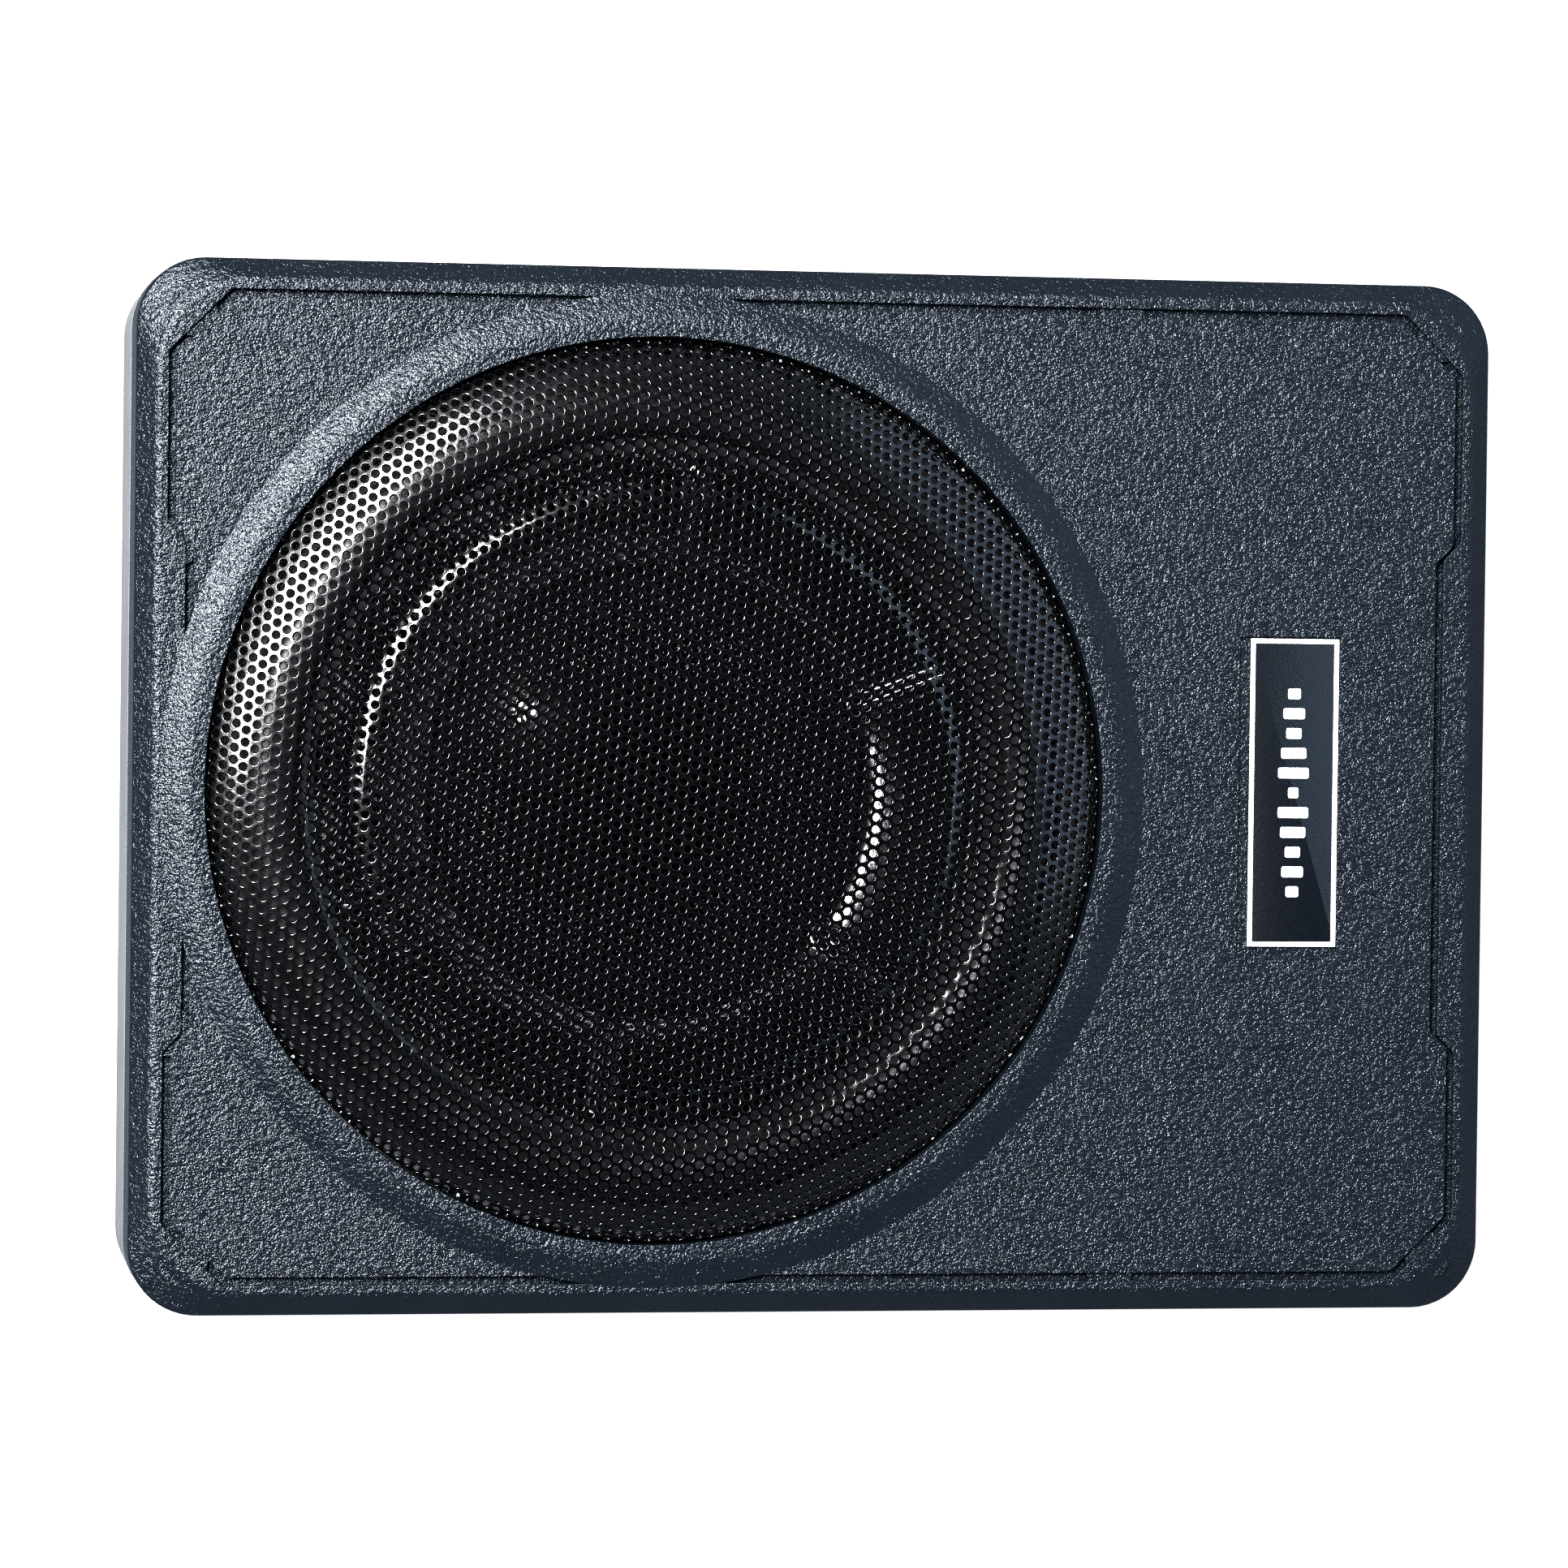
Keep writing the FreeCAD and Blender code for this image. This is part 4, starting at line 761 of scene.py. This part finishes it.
def lead_pieces():
    """Two braided leads that run between the terminals and the foot of the cone."""
    material = copper("braid")
    for side, name in ((-8.0, "tinsel_lead_1"), (8.0, "tinsel_lead_2")):
        path = [(105.0, side, 46.3), (92.0, side, 44.3), (72.0, side, 41.3), (52.0, side * 0.9, 39.6),
                (28.0, side * 0.6, 39.4)]
        points, faces = tube_along([(AXIS_X + x, y, z) for x, y, z in path], 0.7)
        piece = new_piece(name, points, faces, None)
        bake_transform(piece)
        if side < 0:
            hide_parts("tinsel_leads")
        paint(piece, material)


# Name plate: dark field, bright border and a plain row of level bars.

def name_plate_pieces():
    low, high = box_mm("name_plate")
    border = 1.15
    field_z = float(high[2]) - 0.2
    inset = 0.02
    base, base_faces = rounded_block((low[0] + inset, low[1] + inset, low[2]),
                                     (high[0] - inset, high[1] - inset, field_z), 0.4, 0.02)
    base_piece = new_piece("name_plate_field", base, base_faces, sharp_angle=30)
    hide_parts("name_plate")
    paint(base_piece, plate_field())
    strips = [
        ((low[0], low[1]), (low[0] + border, high[1])),
        ((high[0] - border, low[1]), (high[0], high[1])),
        ((low[0] + border - 0.2, low[1]), (high[0] - border + 0.2, low[1] + border)),
        ((low[0] + border - 0.2, high[1] - border), (high[0] - border + 0.2, high[1])),
    ]
    shapes = [rounded_block((*a, field_z - 0.05), (*b, float(high[2])), 0.12, 0.06) for a, b in strips]
    middle = (low + high) / 2
    bar_count = 11
    bar_pitch = 5.0
    for index in range(bar_count):
        place = index - (bar_count - 1) / 2
        half = 1.3 + 3.0 * abs(math.sin(place * 1.15)) * math.cos(place / bar_count * math.pi) ** 0.8
        y = middle[1] + place * bar_pitch
        a = (middle[0] - half, y - 1.35, field_z - 0.05)
        b = (middle[0] + half, y + 1.35, float(high[2]))
        shapes.append(rounded_block(a, b, 0.5, 0.06))
    points, faces = join(shapes)
    bright = new_piece("name_plate_border", points, faces, sharp_angle=30)
    paint(bright, bright_cut())


# Connector panel printing: tick marks round the knobs and plain marks at the sockets.

def panel_marks():
    face_x = float(box_mm("connector_panel")[1][0])
    proud = 0.06
    shapes = []

    def mark(y, z, width, height, angle=0.0):
        """A thin printed bar on the panel's face, turned by an angle about +X."""
        points, faces = rounded_block((-width / 2, -height / 2, 0),
                                      (width / 2, height / 2, proud), 0.12, 0.02)
        turned = []
        for u, v, w in points:
            turned.append((face_x + w, y + u * math.cos(angle) - v * math.sin(angle),
                           z + u * math.sin(angle) + v * math.cos(angle)))
        shapes.append((turned, faces))

    for node in ("gain_knob", "crossover_knob", "bass_boost_knob"):
        y, z = centre_mm(node)[1:]
        tick_count = 11
        for index in range(tick_count):
            angle = math.radians(90 + 140 - 280 * index / (tick_count - 1))
            long_tick = index in (0, tick_count // 2, tick_count - 1)
            length = 1.3 if long_tick else 0.8
            reach = 6.2 + length / 2
            if abs(reach * math.cos(angle)) > 5.6:
                continue
            mark(y + reach * math.cos(angle), z + reach * math.sin(angle), length, 0.3, angle)
    low, high = box_mm("rca_shells")
    mark((low[1] + high[1]) / 2, high[2] + 3.2, high[1] - low[1] - 6, 0.3)
    for node in ("speaker_level_socket", "remote_port", "fuse_holder", "power_terminal_block"):
        low, high = box_mm(node)
        top = min(high[2] + 2.0, 36.0)
        mark((low[1] + high[1]) / 2, top, high[1] - low[1] - 2, 0.3)
    y = centre_mm("phase_switch")[1]
    z = centre_mm("gain_knob")[2]
    for side in (-1, 1):
        mark(y + side * 2.2, z + 5.2, 0.3, 1.6)
    points, faces = join(shapes)
    piece = new_piece("panel_marks", points, faces, sharp_angle=30)
    return paint(piece, printed_white())


# Finishes of the CAD pieces that stay as they are.

def finish_cad_pieces():
    zinc = plated("zinc_plate", (0.72, 0.70, 0.64), 0.3)
    black_screw = plated("black_screw", (0.09, 0.09, 0.095), 0.35)
    nickel = plated("nickel", (0.78, 0.76, 0.72), 0.18)
    brass = plated("brass", (0.82, 0.62, 0.27), 0.26)
    mill = plated("mill_aluminium", (0.78, 0.79, 0.81), 0.34, brushed=(0.1, 1.0, 1.0))
    black = moulded("black_nylon", (0.018, 0.018, 0.019), 0.42)
    knobs = moulded("knob_plastic", (0.022, 0.022, 0.024), 0.38)
    ivory = moulded("ivory_nylon", (0.72, 0.70, 0.62), 0.4)
    amber = moulded("fuse_amber", (0.80, 0.52, 0.03), 0.2, clear=0.25)
    sleeve = moulded("can_sleeve", (0.02, 0.022, 0.05), 0.25)
    stone = ferrite()
    seal = foam("seal_foam")
    boot = rubber("foot_rubber", 0.028, 0.7, 0.8)
    steel_paint = satin_paint("basket_paint", 0.02)
    wire = copper("enamelled_wire")
    finishes = {
        "top_cover": sand_coat(),
        "base_case": cast_alloy(),
        "case_gasket": rubber("gasket_rubber", 0.02, 0.8),
        "case_screws": black_screw,
        "feet": boot,
        "bracket_inserts": brass,
        "grille_seal": seal,
        "woofer_basket": steel_paint,
        "woofer_gasket": seal,
        "woofer_screws": zinc,
        "coil_former": mill,
        "coil_winding": wire,
        "magnet_yoke": zinc,
        "magnet": stone,
        "magnet_top_plate": zinc,
        "woofer_terminals": brass,
        "amplifier_board": circuit_board(),
        "board_screws": zinc,
        "capacitors": sleeve,
        "toroid_core": stone,
        "toroid_winding": wire,
        "board_chips": black,
        "power_transistors": black,
        "heat_sink_bar": mill,
        "transistor_clamp": zinc,
        "speaker_wires": two_tone("wire_jacket", (0.02, 0.02, 0.02), (0.5, 0.02, 0.015), 0.0),
        "connector_panel": satin_paint("panel_paint", 0.022, 0.38),
        "panel_screws": black_screw,
        "power_terminal_block": black,
        "terminal_screws": nickel,
        "fuse_holder": black,
        "blade_fuse": amber,
        "speaker_level_socket": ivory,
        "remote_port": black,
        "rca_shells": nickel,
        "rca_insulators": two_tone("jack_cores", (0.75, 0.75, 0.72), (0.6, 0.02, 0.02),
                                   float(centre_mm("rca_shells")[1])),
        "power_led": lamp_lens(),
        "control_pots": zinc,
        "phase_switch": zinc,
        "phase_lever": knobs,
        "gain_knob": knobs,
        "crossover_knob": knobs,
        "bass_boost_knob": knobs,
    }
    for node, material in finishes.items():
        paint_cad(NODES[node], material)


def paint_cad(piece, material):
    for index in range(len(piece.data.materials)):
        piece.data.materials[index] = material


# Stage: floor, light and camera.

def floor():
    """A plain white floor a hair under the feet. It is clear when seen from below, and lets the
    light under it through, which stands in for the bounce off a white floor."""
    size = 3.0
    level = -0.3 * MM
    corners = [(x * size, y * size, level) for x, y in ((-1, -1), (1, -1), (1, 1), (-1, 1))]
    mesh = bpy.data.meshes.new("floor")
    mesh.from_pydata(corners, [], [(0, 1, 2, 3)])
    plane = bpy.data.objects.new("floor", mesh)
    bpy.context.scene.collection.objects.link(plane)
    finish = Finish("pale_floor", (0.3, 0.3, 0.3), roughness=0.9, specular=0.0)
    path = finish.node("ShaderNodeLightPath")
    seen = path.outputs["Is Camera Ray"]
    finish.set("Emission Color", (1.0, 1.0, 1.0, 1.0))
    finish.link(finish.math("MULTIPLY", seen, 0.97), finish.shader.inputs["Emission Strength"])
    finish.colour(finish.mix(seen, (0.040, 0.048, 0.058), (0.3, 0.3, 0.3)))
    below = finish.node("ShaderNodeNewGeometry").outputs["Backfacing"]
    clear = finish.math("MAXIMUM", below, path.outputs["Is Shadow Ray"])
    finish.link(finish.math("SUBTRACT", 1.0, clear), finish.shader.inputs["Alpha"])
    mesh.materials.append(finish.material)


def lamp(name, place, target, width, height, power, colour):
    """An oval softbox, width metres level and height metres across that, facing the target."""
    light = bpy.data.lights.new(name, "AREA")
    light.shape = "ELLIPSE"
    light.size = width
    light.size_y = height
    light.energy = power
    light.color = colour
    holder = bpy.data.objects.new(name, light)
    bpy.context.scene.collection.objects.link(holder)
    aim = Vector(target) - Vector(place)
    holder.location = place
    holder.rotation_euler = aim.to_track_quat("-Z", "Y").to_euler()
    return holder


def keep_off(light, name):
    """Stops a piece from catching a light."""
    linking = light.light_linking
    if linking.receiver_collection is None:
        linking.receiver_collection = bpy.data.collections.new("unlit_by_" + light.name)
    unlit = linking.receiver_collection
    unlit.objects.link(bpy.data.objects[name])
    unlit.collection_objects[-1].light_linking.link_state = "EXCLUDE"


def light_only(light, name):
    """Lets one piece alone catch a light."""
    light.light_linking.receiver_collection = bpy.data.collections.new("lit_by_" + light.name)
    light.light_linking.receiver_collection.objects.link(bpy.data.objects[name])


def from_angles(azimuth, elevation, distance, centre):
    """A point at a distance from the centre. Azimuth 0 is +X, 90 is +Y."""
    a = math.radians(azimuth)
    e = math.radians(elevation)
    direction = Vector((math.cos(e) * math.cos(a), math.cos(e) * math.sin(a), math.sin(e)))
    return Vector(centre) + direction * distance


def lights():
    """A small key light for the glints, a wide softbox level with it for the bright bands, a pale
    blue panel for the far side, and light from below in place of the floor's bounce. The cone has a
    softbox of its own."""
    middle = Vector((0, 0, PANEL_Z * MM))
    daylight = (0.95, 0.975, 1.0)
    key_place = from_angles(143, 58, 2.4, middle)
    lamp("key_light", key_place, middle, 0.24, 0.24, 100, daylight)
    softbox = lamp("wide_light", key_place, middle, 1.7, 0.26, 320, daylight)
    keep_off(softbox, "dust_cap_dome")
    keep_off(softbox, "cone_skin")
    bowl_place = from_angles(171, 58, 2.4, middle)
    bowl_light = lamp("bowl_light", bowl_place, middle, 1.3, 0.34, 260, daylight)
    light_only(bowl_light, "cone_skin")
    panel_place = from_angles(20, 42, 1.8, middle)
    skylight = lamp("fill_light", panel_place, middle, 1.8, 1.2, 8.5, (0.52, 0.73, 1.0))
    keep_off(skylight, "dust_cap_dome")
    keep_off(skylight, "cone_skin")
    bounce = lamp("bounce_light", Vector((0, 0, -1.2)), middle, 1.6, 1.6, 75, (0.96, 0.98, 1.0))
    bounce.visible_glossy = False


def surroundings():
    """A dim studio: bluish walls near the horizon, dark overhead. The camera sees plain white."""
    world = bpy.data.worlds.new("studio")
    bpy.context.scene.world = world
    world.use_nodes = True
    tree = world.node_tree
    place = tree.nodes.new("ShaderNodeTexCoord")
    split = tree.nodes.new("ShaderNodeSeparateXYZ")
    ramp = tree.nodes.new("ShaderNodeValToRGB")
    tree.links.new(place.outputs["Generated"], split.inputs[0])
    tree.links.new(split.outputs["Z"], ramp.inputs[0])
    backdrop = tree.nodes.new("ShaderNodeMix")
    backdrop.data_type = "RGBA"
    backdrop.inputs[7].default_value = (0.97, 0.97, 0.97, 1.0)
    seen = tree.nodes.new("ShaderNodeLightPath").outputs["Is Camera Ray"]
    tree.links.new(seen, backdrop.inputs[0])
    tree.links.new(ramp.outputs[0], backdrop.inputs[6])
    tree.links.new(backdrop.outputs[2], tree.nodes["Background"].inputs["Color"])
    tree.nodes["Background"].inputs["Strength"].default_value = 1.0
    walls, overhead = ramp.color_ramp.elements
    walls.position = 0.25
    walls.color = (0.50, 0.60, 0.76, 1.0)
    overhead.position = 0.86
    overhead.color = (0.006, 0.007, 0.009, 1.0)


def camera():
    place = Vector((-0.2739, 0.0323, 1.5480))
    target = Vector((-0.0089, 0.0020, 0.0600))
    roll = math.radians(0.698)
    pixels_per_focal = 7449.6
    image_side = 1932
    sensor = 36.0
    forward = (target - place).normalized()
    right = forward.cross(Vector((0, 1, 0))).normalized()
    up = right.cross(forward)
    turned_right = right * math.cos(roll) + up * math.sin(roll)
    turned_up = turned_right.cross(forward)
    axes = Matrix((turned_right, turned_up, -forward)).transposed()
    data = bpy.data.cameras.new("camera")
    data.sensor_width = sensor
    data.lens = sensor * pixels_per_focal / image_side
    data.clip_end = 20
    holder = bpy.data.objects.new("camera", data)
    holder.matrix_world = Matrix.Translation(place) @ axes.to_4x4()
    bpy.context.scene.collection.objects.link(holder)
    bpy.context.scene.camera = holder


def grille_pieces():
    material = grille_enamel()
    for index, piece in enumerate(perforated_sheet()):
        if index == 0:
            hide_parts("grille")
        paint(piece, material)


grille_pieces()
cone_piece()
cap_piece()
surround_piece()
spider_piece()
lead_pieces()
name_plate_pieces()
panel_marks()
finish_cad_pieces()
floor()
lights()
surroundings()
camera()
bpy.context.scene.view_settings.view_transform = "Standard"
# The glints of the coat are as small as a pixel, and a denoiser would wipe them away.
bpy.context.scene.cycles.use_denoising = False
